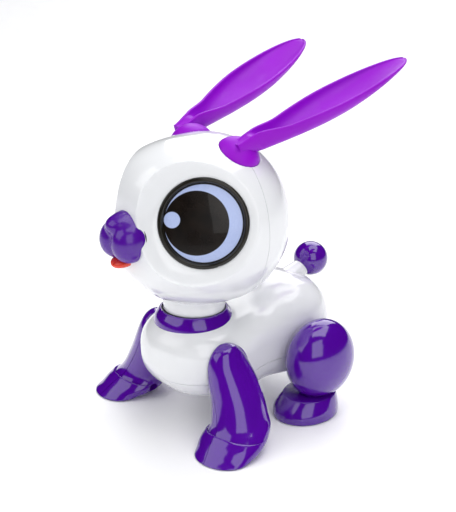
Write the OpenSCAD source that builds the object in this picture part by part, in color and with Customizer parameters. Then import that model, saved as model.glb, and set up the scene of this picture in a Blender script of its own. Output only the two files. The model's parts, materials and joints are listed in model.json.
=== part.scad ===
// Walking robot rabbit toy. +Z is up, the face looks along -Y, and the soles stand on z = 0.
// Left means the rabbit's own left, which is +X.

/* [Head] */
// Largest radius of the head, across its width
head_r = 41; // [40:0.5:42]
// From the head's centre to the flat of the face
head_front = 38.5; // [38:0.5:39]
// From the head's centre to the back of the head
head_back = 39; // [38:0.5:40]
// Height of the head's centre above the floor
head_z = 99.4; // [99:0.1:100]
// Wall of the moulded shells
wall = 2; // [1.8:0.1:2.2]
// Outer radius of an eye's dark bezel
bezel_r = 20.3; // [20:0.1:20.5]
// Radius of the printed disc inside a bezel
lens_r = 17.6; // [17:0.1:17.8]
// Turn of an eye away from straight ahead
eye_azimuth = 51.5; // [51:0.5:52]
// Tilt of an eye above the horizon
eye_elevation = 13.5; // [13:0.5:14]

/* [Ears] */
// Length of an ear's leaf beyond its dome
ear_len = 86.5; // [85:0.5:87]
// Widest half-width of the leaf
ear_half_w = 13.5; // [13:0.1:14]
// Radius of an ear's dome where it meets the head
dome_r = 10; // [9.8:0.1:10.2]

/* [Body] */
// Radius of the chest seen from above
chest_r = 29; // [28.5:0.5:29.5]
// Half-width of the rump
rump_half_w = 26; // [25.5:0.5:26.5]
// Half-width of the waist between chest and rump
waist_half_w = 22.5; // [21:0.5:22.5]
// Height of the belly's flat underside
belly_z = 15; // [14.5:0.5:15.5]
// Height of the seam between the back shell and the belly shell
seam_z = 27; // [26.5:0.5:27.5]
// Radius of the neck's white bowl
neck_r = 14.9; // [14.7:0.1:15]

/* [Legs and drive] */
// Swing of the legs each way
leg_swing = 10; // [8:1:10]
// Height of the front axle
front_axle_z = 38; // [37.5:0.5:38]
// Height of the rear axle
rear_axle_z = 31.5; // [31.5:0.5:32]
// Teeth of each leg's sector gear, counted over a full turn
sector_teeth = 34; // [34:1:34]
// Teeth of the drive gear's pinion
drive_teeth = 20; // [20:1:20]
// Gear module of the leg train
leg_module = 1; // [1:0.1:1]
// Gear module of the motor train
motor_module = 0.6; // [0.6:0.1:0.6]

/* [Hidden] */
$fn = 64;

// Everything is drawn from the neck forwards and back, then moved so that the middle of
// the whole toy stands over the origin.
middle_y = 9.79;

// Colours
white_shell = [0.93, 0.93, 0.96];
violet = [0.30, 0.03, 0.58];
ear_violet = [0.55, 0.12, 0.80];
night_blue = [0.08, 0.04, 0.16];
bezel_black = [0.06, 0.05, 0.05];
print_black = [0.02, 0.02, 0.03];
tongue_red = [0.85, 0.14, 0.07];
steel = [0.66, 0.67, 0.70];
nylon = [0.88, 0.87, 0.80];
frame_grey = [0.45, 0.46, 0.50];
board_green = [0.08, 0.35, 0.18];
brass_tone = [0.76, 0.62, 0.30];
rubber_violet = [0.16, 0.02, 0.32];
cell_blue = [0.12, 0.20, 0.42];

fine = 0.02;      // thickness of a section that is only there to be skinned
gap = 0.3;        // air between pieces that don't touch
eps = 0.01;

// ---------- Head ----------
head_y = -8.6;
head_seam_y = -3;         // the face shell ends here
head_cut_z = 66.5;        // the head is open below this height
face_power = 2.8;         // roundness of the face: 2 is an ellipse, more is squarer
nape_power = 2.05;
head_steps = 12;
dish_r = 27.5;            // outer radius of the dished ring round an eye
dish_axial = 34.6;        // how far out that ring's edge lies from the head's centre
bezel_axial = 31.5;       // and its bottom, where the bezel stands
bezel_depth = 3.4;
lens_thick = 1.2;
neck_y = -15.5;            // axis on which the head turns
clip_z = 48.9;            // underside of the ring that keeps the head on

// ---------- Ears ----------
dome_sphere_r = 11.4;     // the dome is a cap of this sphere
dome_seat = 38.5;         // where the dome's flat base lies, out from the head's centre
dome_tilt_x = 8.4;        // turns the dome's axis from +Z on to the head's surface
dome_tilt_y = 28;
ear_pin_r = 3;
ear_base = [23, 2, 141];
ear_tip = [36, 82, 170.5];
ear_face = [-0.073, -0.371, 0.926];   // the way the ear's hollow faces
leaf_root_w = 4;          // half-width, depth and length of the stalk end of a leaf
leaf_root_d = 6;
leaf_root_len = 8;
leaf_wall = 1.5;
ear_stalk_r = 2.6;
leaf_steps = 10;

// ---------- Body ----------
chest_y = -12;
rump_y = 36;
body_front = -41;
body_back = 62.5;
chest_mid_z = 37;
chest_half_h = 19.6;
chest_depth = 22.8;
rump_mid_z = 38;
rump_half_h = 24;
waist_half_h = 17.2;
waist_ramp = 20;           // length over which the waist takes over from chest and rump
belly_ramp = 7;            // the same on the underside
body_steps = 15;
section_step = 12;
section_power = 2.4;      // squareness of the sections' upper half, less over the chest
chest_softening = 0.35;    // how much rounder the upper half is over the chest
belly_power = 2.8;        // the waist's underside is squarer than the chest's
blend_power = 8;

// ---------- Drive train, in the plane of the sides: [y, z] ----------
front_axle = [-17, front_axle_z];
rear_axle = [35, rear_axle_z];
sector_r = sector_teeth * leg_module / 2;
drive_r = drive_teeth * leg_module / 2;
axle_span = norm(rear_axle - front_axle);
axle_dir = (rear_axle - front_axle) / axle_span;
drive_rise = sqrt(pow(sector_r + drive_r, 2) - pow(axle_span / 2, 2));
drive_axle = (front_axle + rear_axle) / 2 + drive_rise * [-axle_dir[1], axle_dir[0]];
wheel_teeth = 32;
pinion_teeth = 8;
motor_span = (wheel_teeth + pinion_teeth) * motor_module / 2;
reduction_axle = drive_axle + motor_span * [1, 0];
motor_angle = 20;
motor_axle = reduction_axle + motor_span * [cos(motor_angle), sin(motor_angle)];
axle_r = 2;
pin_r = 1.5;
running = 0.05;           // radial play of a shaft in its bore
axle_half_len = 33.6;
drive_wheel_x = -6.5;     // planes of the motor train, measured from the middle
reduction_wheel_x = -9.5;

// ================= helpers =================

function sgn(v) = v < 0 ? -1 : 1;

// One quarter-and-more of a superellipse, from angle a0 to a1
function super_arc(r, l, n, a0, a1, steps) =
    [for (i = [0:steps]) let (a = a0 + (a1 - a0) * i / steps)
        [r * pow(abs(cos(a)), 2 / n), sgn(a) * l * pow(abs(sin(a)), 2 / n)]];

// Closed superellipse with different roundness above and below
function section_points(w, up, down, n_up, n_down) =
    [for (a = [0:section_step:359]) let (n = sin(a) < 0 ? n_down : n_up, h = sin(a) < 0 ? down : up)
        [w * sgn(cos(a)) * pow(abs(cos(a)), 2 / n), h * sgn(sin(a)) * pow(abs(sin(a)), 2 / n)]];

module placed() {
    translate([0, -middle_y, 0]) children();
}

module mirrored(side) {
    scale([side, 1, 1]) children();
}

// Puts children, drawn round +Z at the origin, round X at a point [y, z] of the side view
module on_axle(p, x = 0) {
    translate([x, p[0], p[1]]) rotate([0, 90, 0]) children();
}

// The head's outline turned round the Y axis
module head_form(inset = 0) {
    front = super_arc(head_r - inset, head_front - inset, face_power, 90, 0, head_steps);
    back = super_arc(head_r - inset, head_back - inset, nape_power, 0, -90, head_steps);
    outline = concat([[0, head_front - inset]], [for (i = [1:head_steps]) front[i]],
        [for (i = [1:head_steps - 1]) back[i]], [[0, inset - head_back]]);
    translate([0, head_y, head_z]) rotate([90, 0, 0]) rotate_extrude() polygon(outline);
}

module above(z) {
    translate([-100, -100, z]) cube([200, 200, 200]);
}

module ahead_of(y) {
    translate([-100, y - 200, 0]) cube([200, 200, 200]);
}

module behind(y) {
    translate([-100, y, 0]) cube([200, 200, 200]);
}

// Puts children, drawn up +Z from the head's centre, on an eye's line of sight
module on_eye(side) {
    translate([0, head_y, head_z]) rotate([0, 0, side * eye_azimuth]) rotate([90 - eye_elevation, 0, 0])
        children();
}

// The same for an ear dome
module on_dome(side) {
    translate([0, head_y, head_z]) rotate([-dome_tilt_x, side * dome_tilt_y, 0]) children();
}

module tube(r_out, r_in, h) {
    difference() {
        cylinder(r = r_out, h = h);
        translate([0, 0, -1]) cylinder(r = r_in, h = h + 2);
    }
}

// ---------- body form ----------
function bump(y, mid, half, n) = let (u = abs(y - mid) / half) u >= 1 ? 0 : pow(1 - pow(u, n), 1 / n);
function blend(a, b, c) = pow(pow(a, blend_power) + pow(b, blend_power) + pow(c, blend_power), 1 / blend_power);
function ease(u) = let (v = min(max(u, 0), 1)) v * v * (3 - 2 * v);
function between(y, ramp = waist_ramp) = ease((y - chest_y) / ramp) * ease((rump_y - y) / ramp);

function body_w(y) = blend(chest_r * bump(y, chest_y, chest_r, 2),
    rump_half_w * bump(y, rump_y, body_back - rump_y, 2.1), waist_half_w * between(y));
function body_up(y) = blend(chest_half_h * bump(y, chest_y, chest_r + 0.5, 2.2),
    rump_half_h * bump(y, rump_y, body_back - rump_y, 2.1), waist_half_h * between(y));
function body_mid(y) = y < chest_y ? chest_mid_z : y > rump_y ? rump_mid_z
    : chest_mid_z + (rump_mid_z - chest_mid_z) * (y - chest_y) / (rump_y - chest_y);
function body_low(y) = chest_depth * blend(bump(y, chest_y, chest_r, 2.2),
    bump(y, rump_y, body_back - rump_y, 2.2), between(y, belly_ramp) * 0.95);

function section_top(y) = section_power - chest_softening * bump(y, chest_y, chest_r, 2);
function body_squareness(y) = belly_power + 2.2 * bump(y, (chest_y + rump_y) / 2, 26, 2);

// One thin slice of the body across Y
module body_slice(y, grow) {
    centre = (body_front + body_back) / 2;
    half = (body_back - body_front) / 2;
    w = max(body_w(y) + grow, 1);
    up = max(body_up(y) + grow, 1);
    down = max(body_low(y) + grow, 1);
    translate([0, centre + (y - centre) * (half + grow) / half, body_mid(y)]) rotate([90, 0, 0])
        linear_extrude(height = fine) polygon(section_points(w, up, down, section_top(y),
            body_squareness(y)));
}

// The whole body as one skinned solid; grow swells or shrinks it evenly
module body_form(grow = 0) {
    centre = (body_front + body_back) / 2;
    half = (body_back - body_front) / 2;
    function station(i) = centre - (half - 0.4) * cos(180 * i / body_steps);
    intersection() {
        for (i = [0:body_steps - 1]) hull() {
            body_slice(station(i), grow);
            body_slice(station(i + 1), grow);
        }
        above(belly_z - grow);
    }
}

// What the body sweeps past a pair of legs that swing on an axle
module body_swept(axle, grow) {
    for (a = [-leg_swing, 0, leg_swing])
        translate([0, axle[0], axle[1]]) rotate([a, 0, 0]) translate([0, -axle[0], -axle[1]]) body_form(grow);
}

// ================= head =================

module head_shell() {
    difference() {
        head_form();
        head_form(wall);
        translate([-100, -100, head_cut_z - 200]) cube([200, 200, 200]);
    }
}

// Dish for an eye and the hole that its parts look out of
module eye_opening(side) {
    on_eye(side) {
        translate([0, 0, bezel_axial]) cylinder(r1 = bezel_r + gap, r2 = dish_r, h = dish_axial - bezel_axial);
        translate([0, 0, dish_axial - eps]) cylinder(r = dish_r, h = 20);
        translate([0, 0, bezel_axial - 9]) cylinder(r = bezel_r + gap, h = 10);
    }
}

// Wall that carries the dish inside the head
module eye_pocket(side) {
    intersection() {
        on_eye(side) translate([0, 0, bezel_axial - 3.5]) cylinder(r = dish_r + 1, h = 12);
        head_form(0.5);
        ahead_of(head_seam_y);
        translate([side > 0 ? eps : -100, -100, 0]) cube([100, 200, 200]);
    }
}

module dome_recess(side) {
    on_dome(side) {
        translate([0, 0, dome_seat - 0.2]) cylinder(r = dome_r + gap, h = 20);
        translate([0, 0, 20]) cylinder(r = ear_pin_r + running, h = 30);
    }
}

module dome_boss(side) {
    intersection() {
        on_dome(side) translate([0, 0, dome_seat - 2.5]) cylinder(r = dome_r + 1.5, h = 6);
        head_form(0.4);
    }
}

module muzzle_opening() {
    translate([0, head_y - head_front - 5, 100]) rotate([-90, 0, 0]) cylinder(r = 6, h = 10);
}

module face_shell() {
    color(white_shell) difference() {
        union() {
            intersection() {
                head_shell();
                ahead_of(head_seam_y);
            }
            for (s = [-1, 1]) {
                eye_pocket(s);
                intersection() {
                    dome_boss(s);
                    ahead_of(head_seam_y);
                }
            }
        }
        for (s = [-1, 1]) {
            eye_opening(s);
            dome_recess(s);
        }
        muzzle_opening();
    }
}

module rear_head_shell() {
    color(white_shell) difference() {
        union() {
            intersection() {
                head_shell();
                behind(head_seam_y);
            }
            for (s = [-1, 1]) intersection() {
                dome_boss(s);
                behind(head_seam_y);
            }
        }
        for (s = [-1, 1]) dome_recess(s);
    }
}

// Flat floor of the head, inside the open edge of the two shells
module head_base_plate() {
    color(white_shell) difference() {
        intersection() {
            head_form(0.6);
            translate([-40, -60, head_cut_z - 2.2]) cube([80, 100, 2.2]);
        }
        translate([0, neck_y, 50]) cylinder(r = 5, h = 30);
    }
}

// Bowl under the head, with the spigot that turns in the neck socket
module neck_bowl() {
    bowl = [[5, 56.5], [neck_r - 0.3, 56.5], [neck_r - 0.2, 57.8], [neck_r, 60], [neck_r + 0.5, 62.5],
        [neck_r + 1.4, head_cut_z - 2.2], [5, head_cut_z - 2.2]];
    color(white_shell) translate([0, neck_y, 0]) {
        rotate_extrude() polygon(bowl);
        translate([0, 0, clip_z + 1.7]) tube(10, 5, 56.6 - clip_z - 1.7);
    }
}

// Ring that keeps the spigot in the socket
module neck_clip() {
    color(frame_grey) translate([0, neck_y, clip_z]) difference() {
        tube(11, 5, 1.7);
        for (s = [-1, 1]) translate([s * 7.5, 0, -1]) cylinder(r = 0.9, h = 4);
    }
}

module eye_bezel(side) {
    color(bezel_black) on_eye(side) translate([0, 0, bezel_axial - 2.2]) rotate_extrude()
        polygon([[lens_r + 0.1, 0], [bezel_r, 0], [bezel_r, bezel_depth - 0.5], [bezel_r - 0.6, bezel_depth],
            [bezel_r - 1.4, bezel_depth], [lens_r + 0.1, bezel_depth - 1.4]]);
}

module eye_lens(side) {
    color(print_black) on_eye(side) translate([0, 0, bezel_axial - 1.6]) rotate_extrude()
        polygon([[0, 0], [lens_r, 0], [lens_r, lens_thick], [lens_r * 0.7, lens_thick + 0.6],
            [lens_r * 0.35, lens_thick + 1], [0, lens_thick + 1.1]]);
}

// Cup behind the disc that spreads the lamp's light
module eye_reflector(side) {
    color(nylon) on_eye(side) translate([0, 0, bezel_axial - 6.4]) rotate_extrude()
        polygon([[4, 0], [5.5, 0], [15.5, 4.7], [14, 4.7]]);
}

module eye_leds() {
    color("ivory") for (s = [-1, 1]) on_eye(s) translate([0, 0, bezel_axial - 10.2]) {
        cylinder(r = 2.5, h = 3.6);
        translate([0, 0, 3.6]) intersection() {
            sphere(r = 2.5);
            cylinder(r = 3, h = 3);
        }
    }
}

// ---------- muzzle ----------
muzzle_back_y = -49;
plate_thick = 1.85;
plate_z = 98;              // the plate is an oval round this height
plate_half_w = 7.9;
plate_half_h = 13;
cheek = [3.6, -55.5, 98.4];
cheek_radii = [5.6, 7.6, 8.6];
nose = [0, -55, 106];
nose_radii = [5.5, 7, 4.6];
muzzle_middle = [0, -53, 101];
middle_radii = [7.7, 7.6, 9.8];

module blob(centre, radii) {
    translate(centre) hull() scale(radii) sphere(r = 1, $fn = 32);
}

module muzzle_blobs() {
    for (s = [-1, 1]) blob([s * cheek[0], cheek[1], cheek[2]], cheek_radii);
    blob(nose, nose_radii);
    blob(muzzle_middle, middle_radii);
}

module muzzle_backplate() {
    color(night_blue) translate([0, muzzle_back_y, plate_z]) rotate([-90, 0, 0]) {
        scale([plate_half_w, plate_half_h, 1]) cylinder(r = 1, h = plate_thick, $fn = 64);
        translate([0, -2, 0]) cylinder(r = 5.7, h = 7);
    }
}

module muzzle() {
    color(violet) intersection() {
        muzzle_blobs();
        ahead_of(muzzle_back_y);
    }
}

module tongue() {
    color(tongue_red) difference() {
        translate([0, -54.2, 88.8]) rotate([14, 0, 0]) cylinder(r = 5.9, h = 3.6, center = true);
        muzzle_blobs();
        behind(muzzle_back_y);
    }
}

// ---------- inside the head ----------
module main_board() {
    color(board_green) translate([-22, 4, 78]) cube([44, 1.6, 30]);
}

module sound_module() {
    color("dimgray") translate([-8, 5.6, 86]) cube([16, 3, 12]);
}

module microphone() {
    color(steel) translate([0, -2, 118]) cylinder(r = 4.8, h = 6);
}

// Screws that draw the rear shell on to the face shell
module head_screws() {
    color(steel) for (s = [-1, 1]) translate([s * 13, 0, 72]) rotate([90, 0, 0]) {
        cylinder(r = 1.25, h = 10);
        translate([0, 0, -1.6]) cylinder(r = 2.4, h = 1.6);
    }
}

// ================= ears =================

module ear_dome(side) {
    color(ear_violet) difference() {
        union() {
            on_dome(side) {
                translate([0, 0, dome_seat]) intersection() {
                    translate([0, 0, 7.3 - dome_sphere_r]) sphere(r = dome_sphere_r);
                    cylinder(r = dome_r, h = 12);
                }
                translate([0, 0, 33.2]) cylinder(r = ear_pin_r, h = dome_seat - 33.2 + 1);
                translate([0, 0, 32]) cylinder(r = 5, h = 1.4);
            }
        }
        ear_frame(side) translate([0, 0, -2]) rotate([0, 90, 0]) cylinder(r = ear_stalk_r + 0.05, h = 24, center = true);
    }
}

ear_axis = (ear_tip - ear_base) / norm(ear_tip - ear_base);
ear_across = cross(ear_face, ear_axis);

// Local frame of the left ear: X along the ear, Y across it, Z out of its hollow
module ear_frame(side) {
    mirrored(side) translate(ear_base) multmatrix([
        [ear_axis[0], ear_across[0], ear_face[0], 0],
        [ear_axis[1], ear_across[1], ear_face[1], 0],
        [ear_axis[2], ear_across[2], ear_face[2], 0],
        [0, 0, 0, 1]]) children();
}

// Half-width and depth of the leaf, from its stalk (0) to its tip (1)
function leaf_w(t) = leaf_root_w * (1 - t) + (ear_half_w - 0.4 * leaf_root_w)
    * pow(sin(180 * pow(t, 1.25)), t < 0.574 ? 0.8 : 0.42);
function leaf_d(t) = leaf_root_d * (1 - t) + 4 * sin(180 * t) + 1;

module leaf_skin(inset) {
    for (i = [0:leaf_steps - 1]) hull() for (k = [i, i + 1]) {
        t = sin(90 * k / leaf_steps);
        translate([t * (ear_len - 2 * inset) + inset, 0, 0]) rotate([0, 90, 0])
            scale([max(leaf_d(t) - inset, 0.6), max(leaf_w(t) - inset, 0.6), 1])
                cylinder(r = 1, h = fine, $fn = 24);
    }
}

// Cupped leaf on a stalk that grows out of the dome
module ear(side) {
    color(ear_violet) difference() {
        ear_frame(side) {
            difference() {
                leaf_skin(0);
                translate([6, 0, 0.01]) leaf_skin(leaf_wall);
                translate([leaf_root_len, -50, 0]) cube([200, 100, 100]);
                translate([-20, -50, 2.5]) cube([200, 100, 100]);
            }
            translate([-9, 0, -2]) rotate([0, 90, 0]) cylinder(r = ear_stalk_r, h = 12, $fn = 32);
        }
        on_dome(side) translate([0, 0, dome_seat + 7.3 - dome_sphere_r]) difference() {
            sphere(r = dome_sphere_r + 0.02, $fn = 48);
            translate([0, 0, dome_sphere_r - 7.3 - dome_seat]) on_dome_inverse(side)
                ear_frame(side) translate([0, 0, -2]) rotate([0, 90, 0])
                    cylinder(r = ear_stalk_r, h = 30, center = true, $fn = 32);
        }
    }
}

// Undoes on_dome, so that a cut can be given in the rabbit's own axes
module on_dome_inverse(side) {
    rotate([0, -side * dome_tilt_y, 0]) rotate([dome_tilt_x, 0, 0]) translate([0, -head_y, -head_z]) children();
}

// ================= body =================

module body_shell() {
    difference() {
        body_form();
        body_form(-wall);
        translate([0, neck_y, 48]) cylinder(r = neck_r + 0.7, h = 30);
        for (a = [front_axle, rear_axle]) on_axle(a) cylinder(r = 4.3, h = 100, center = true, $fn = 48);
    }
}

module back_shell() {
    color(white_shell) intersection() {
        body_shell();
        above(seam_z);
    }
}

module belly_shell() {
    color(white_shell) difference() {
        body_shell();
        above(seam_z);
        translate([-door_half_w - 0.2, door_front - 0.2, 0]) cube([2 * door_half_w + 0.4, door_len + 0.4, 20]);
        translate([switch_x - 4, switch_y - 2.6, 0]) cube([8, 5.2, 20]);
        for (x = [-4.5:3:4.5]) translate([x - 0.6, 43, 10]) cube([1.2, 8, 20]);
        for (p = body_screw_spots) translate([p[0], p[1], 0]) cylinder(r = 2.6, h = 22, $fn = 32);
    }
}

collar_tilt = 3;
collar_z = 50;

// Purple band that the bowl stands in, lying on the chest
module collar_ring() {
    color(violet) difference() {
        translate([0, neck_y, collar_z]) rotate([collar_tilt, 0, 0]) rotate_extrude()
            polygon([[13, -4], [18.8, -4], [19.5, -1.4], [19.7, 0.2], [19.2, 2.8], [16.2, 6.5], [15.4, 7], [13, 7]]);
        translate([0, neck_y, 40]) cylinder(r = neck_r + 0.6, h = 40);
        body_form(0.02);
    }
}

// Bearing in the chest in which the head turns
module neck_socket() {
    color(frame_grey) translate([0, neck_y, clip_z + 2]) tube(neck_r + 0.5, 10 + running, 53.6 - clip_z);
}

tail_centre = [0, 59.4, 64];
tail_r = 8.8;

module along_tail() {
    translate(tail_centre) rotate([118, 0, 0]) children();
}

module tail_stem() {
    color(white_shell) difference() {
        union() {
            along_tail() translate([0, 0, 5]) cylinder(r1 = 4.2, r2 = 6.5, h = 12);
            along_tail() translate([0, 0, -1]) cylinder(r = 2.5, h = 8, $fn = 32);
        }
        body_form(0);
        difference() {
            translate(tail_centre) sphere(r = tail_r + 0.02);
            along_tail() cylinder(r = 2.5, h = 30, center = true, $fn = 32);
        }
    }
}

module tail_ball() {
    color(violet) difference() {
        translate(tail_centre) sphere(r = tail_r);
        along_tail() translate([0, 0, -1.2]) cylinder(r = 2.55, h = 20);
    }
}

// ---------- battery box, switch and speaker ----------
cell_r = 5.25;
cell_len = 44.5;
cell_pitch = 10.8;
cell_z = 22.4;
tray_front = -17.5;
door_half_w = 14;
door_front = -16;
door_len = 46;
door_thick = 1.7;
switch_x = 0;
switch_y = -23;
body_screw_spots = [[-15, -22], [15, -22], [-9, 41], [9, 41]];

module battery_tray() {
    color(frame_grey) difference() {
        union() {
            for (i = [-1:1]) translate([i * cell_pitch, tray_front, cell_z]) rotate([-90, 0, 0])
                cylinder(r = cell_r + 1, h = cell_len + 3);
            translate([-cell_pitch, tray_front, cell_z]) cube([2 * cell_pitch, cell_len + 3, cell_r + 1]);
        }
        for (i = [-1:1]) translate([i * cell_pitch, tray_front + 1.2, cell_z]) rotate([-90, 0, 0])
            cylinder(r = cell_r + 0.12, h = cell_len + 0.6);
        translate([-30, -50, 0]) cube([60, 120, cell_z - 1.2]);
        on_axle(rear_axle, -2.6) cylinder(r = sector_teeth * leg_module / 2 + 2, h = 5.2);
    }
}

module battery_cells() {
    color(cell_blue) for (i = [-1:1]) translate([i * cell_pitch, tray_front + 1.6, cell_z]) {
        rotate([-90, 0, 0]) cylinder(r = cell_r, h = cell_len - 1.2);
        translate([0, i == 0 ? -0.2 : cell_len - 1.3, 0]) rotate([-90, 0, 0]) cylinder(r = 1.9, h = 0.9);
    }
}

module battery_contacts() {
    color(brass_tone) for (x = [-10.8, 0, 10.8], y = [tray_front - 0.5, tray_front + cell_len + 3.1])
        translate([x - 3, y, cell_z - 1]) cube([6, 0.4, 5]);
}

module battery_door() {
    color(white_shell) difference() {
        translate([-door_half_w, door_front, belly_z]) cube([2 * door_half_w, door_len, door_thick]);
        translate([0, door_front + 4, 0]) cylinder(r = 1.3, h = 30);
        translate([0, door_front + 4, belly_z - 1]) cylinder(r = 2.6, h = 1.9);
        for (i = [0:4]) translate([-5, door_front + 30 + i * 2, belly_z - 1]) cube([10, 1, 1.4]);
    }
}

module battery_door_screw() {
    color(steel) translate([0, door_front + 4, 0]) difference() {
        union() {
            translate([0, 0, belly_z + 0.1]) cylinder(r = 2.3, h = 0.7);
            translate([0, 0, belly_z + 0.7]) cylinder(r = 1.15, h = 1);
        }
        for (a = [0, 90]) rotate([0, 0, a]) translate([-1.5, -0.3, belly_z - 1]) cube([3, 0.6, 1.5]);
    }
}

module switch_housing() {
    color("dimgray") translate([switch_x, switch_y, 0]) difference() {
        translate([-6, -4, 20.8]) cube([12, 8, 5]);
        translate([-4.2, -2, 18]) cube([8.4, 4, 5.2]);
    }
}

// Thumb slide of the power switch, shown at its left end
module switch_slider() {
    color("black") translate([switch_x, switch_y, 0]) {
        translate([-3.6, -1.8, 15.4]) cube([3.6, 3.6, 7.4]);
        for (i = [0:1]) translate([-3.1 + i * 1.6, -1.8, 14.9]) cube([0.8, 3.6, 0.6]);
    }
}

module speaker() {
    color([0.16, 0.16, 0.18]) translate([0, 46.5, 25]) difference() {
        cylinder(r = 7, h = 4.6);
        translate([0, 0, -1]) cylinder(r1 = 6.4, r2 = 3.4, h = 2.6);
    }
}

module body_screws() {
    color(steel) for (p = body_screw_spots) translate([p[0], p[1], 18.8]) {
        cylinder(r = 1.2, h = 8);
        cylinder(r = 2.3, h = 1.5);
    }
}

// ---------- gears ----------
function polar(r, a) = [r * cos(a), r * sin(a)];

// Outline of straight-flanked teeth; narrow tips leave the backlash that a toy's gears have
function tooth_points(teeth, mod, phase, first, last) = let (p = 360 / teeth, r = teeth * mod / 2)
    [for (i = [first:last], k = [0:3])
        polar(k == 0 || k == 3 ? r - 1.15 * mod : r + 0.85 * mod,
            phase + p * (i + [-0.29, -0.12, 0.12, 0.29][k]))];

// Children are drawn in the side view: local X is +Y of the toy, and local Y is +Z
module side_view(p, x, thick) {
    translate([x - thick / 2, p[0], p[1]]) rotate([90, 0, 90]) linear_extrude(height = thick) children();
}

module gear(p, x, thick, teeth, mod, phase) {
    side_view(p, x, thick) polygon(tooth_points(teeth, mod, phase, 0, teeth - 1));
}

function angle_to(a, b) = atan2(b[1] - a[1], b[0] - a[0]);

// Phases that bring each pair into mesh at rest
drive_phase = angle_to(drive_axle, front_axle);
front_phase = angle_to(front_axle, drive_axle) + 180 / sector_teeth;
to_rear = angle_to(drive_axle, rear_axle);
rear_lead = (drive_phase - to_rear) - round((drive_phase - to_rear) * drive_teeth / 360) * 360 / drive_teeth;
rear_phase = to_rear + 180 - rear_lead * drive_teeth / sector_teeth + 180 / sector_teeth;
to_reduction = angle_to(drive_axle, reduction_axle);
wheel_lead = (drive_phase - to_reduction)
    - round((drive_phase - to_reduction) * wheel_teeth / 360) * 360 / wheel_teeth;
reduction_phase = to_reduction + 180 - wheel_lead * wheel_teeth / pinion_teeth + 180 / pinion_teeth;
to_motor = angle_to(reduction_axle, motor_axle);
motor_phase = to_motor + 180 + 180 / pinion_teeth;
sector_span = 2;          // teeth each side of the middle

module sector_gear(p, phase) {
    half = sector_teeth * leg_module / 2;
    color(nylon) difference() {
        union() {
            side_view(p, 0, 4) polygon(concat(
                [polar(3.6, phase + 110), polar(3.6, phase + 180), polar(3.6, phase - 110)],
                tooth_points(sector_teeth, leg_module, phase, -sector_span, sector_span - 1)));
            on_axle(p, -5) cylinder(r = 4, h = 10);
        }
        on_axle(p) cylinder(r = axle_r, h = 20, center = true);
        for (a = [-12, 12]) side_view(p, 0, 6) translate(polar(half * 0.58, phase + a)) circle(r = 1.7);
    }
}

module front_sector_gear() {
    sector_gear(front_axle, front_phase);
}

module rear_sector_gear() {
    sector_gear(rear_axle, rear_phase);
}

module drive_gear() {
    color(nylon) {
        gear(drive_axle, 0, 5, drive_teeth, leg_module, drive_phase);
        gear(drive_axle, drive_wheel_x, 2, wheel_teeth, motor_module, drive_phase);
        on_axle(drive_axle, -7.5) cylinder(r = 3, h = 18);
        on_axle(drive_axle, -13.4) cylinder(r = pin_r, h = 26.4);
    }
}

module reduction_gear() {
    color(nylon) {
        gear(reduction_axle, reduction_wheel_x, 1.8, wheel_teeth, motor_module, to_motor);
        gear(reduction_axle, -6.4, 4.4, pinion_teeth, motor_module, reduction_phase);
        on_axle(reduction_axle, -13.4) cylinder(r = pin_r, h = 10);
    }
}

module motor_pinion() {
    color(brass_tone) {
        gear(motor_axle, -9.5, 3, pinion_teeth, motor_module, motor_phase);
        on_axle(motor_axle, -10.9) cylinder(r = shaft_r, h = motor_x + 12);
    }
}

motor_r = 6;
motor_x = 3.4;
motor_len = 15;
shaft_r = 0.75;

module motor() {
    color(steel) difference() {
        union() {
            on_axle(motor_axle, motor_x) cylinder(r = motor_r, h = motor_len);
            on_axle(motor_axle, motor_x - 1) cylinder(r = 2, h = 1.1);
            on_axle(motor_axle, motor_x + motor_len - 0.1) cylinder(r = 3.5, h = 1.1);
        }
        on_axle(motor_axle, motor_x - 2) cylinder(r = shaft_r + running, h = 4);
    }
}

frame_x = 12;
frame_thick = 1.6;

// Side plate of the gearbox; side is the way it lies from the middle
module gear_frame(side) {
    color(frame_grey) difference() {
        side_view([0, 0], side * frame_x, frame_thick) difference() {
            polygon([[-25.5, 35], [-27, 39], [-24, 42.5], [-10, 43.5], [8, 47], [22, 51], [34, 53.5], [40, 50],
                [41, 40], [40, 29], [37, 26.5], [33, 26.8], [29, 31], [0, 31], [-16, 33]]);
            for (c = spacer_spots) translate(c) circle(r = 1.05);
        }
        for (p = [front_axle, rear_axle]) on_axle(p) cylinder(r = axle_r + running, h = 60, center = true);
        on_axle(drive_axle) cylinder(r = pin_r + running, h = 60, center = true);
        if (side < 0) on_axle(reduction_axle) cylinder(r = pin_r + running, h = 60, center = true);
        if (side > 0) on_axle(motor_axle) cylinder(r = motor_r + 0.05, h = 60, center = true);
        if (side < 0) on_axle(motor_axle) cylinder(r = 3.4, h = 60, center = true);
    }
}

spacer_spots = [[-24, 38], [38, 37]];

module frame_spacers() {
    color(steel) for (p = spacer_spots) {
        on_axle(p, -frame_x - 1.4) cylinder(r = 1, h = 2 * frame_x + 2.8);
        on_axle(p, -frame_x + frame_thick / 2) cylinder(r = 1.8, h = 2 * frame_x - frame_thick);
    }
}

// Flanged bushes in the sides of the body, two to an axle
bush_end = [25.2, 24.2];

module axle_bushes() {
    color(nylon) for (i = [0, 1], s = [-1, 1]) difference() {
        on_axle([front_axle, rear_axle][i]) mirror([0, 0, s < 0 ? 1 : 0])
            translate([0, 0, frame_x + 1]) cylinder(r = 4, h = bush_end[i] - frame_x - 1);
        on_axle([front_axle, rear_axle][i]) cylinder(r = axle_r + running, h = 80, center = true);
    }
}

// ================= legs =================

module axle_rod(p) {
    color(steel) on_axle(p) cylinder(r = axle_r, h = 2 * axle_half_len, center = true);
}

sole_z = 0.4;             // the hard soles stay this far off the ground; the rubber pads stand on it
pad_h = 1.5;

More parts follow.
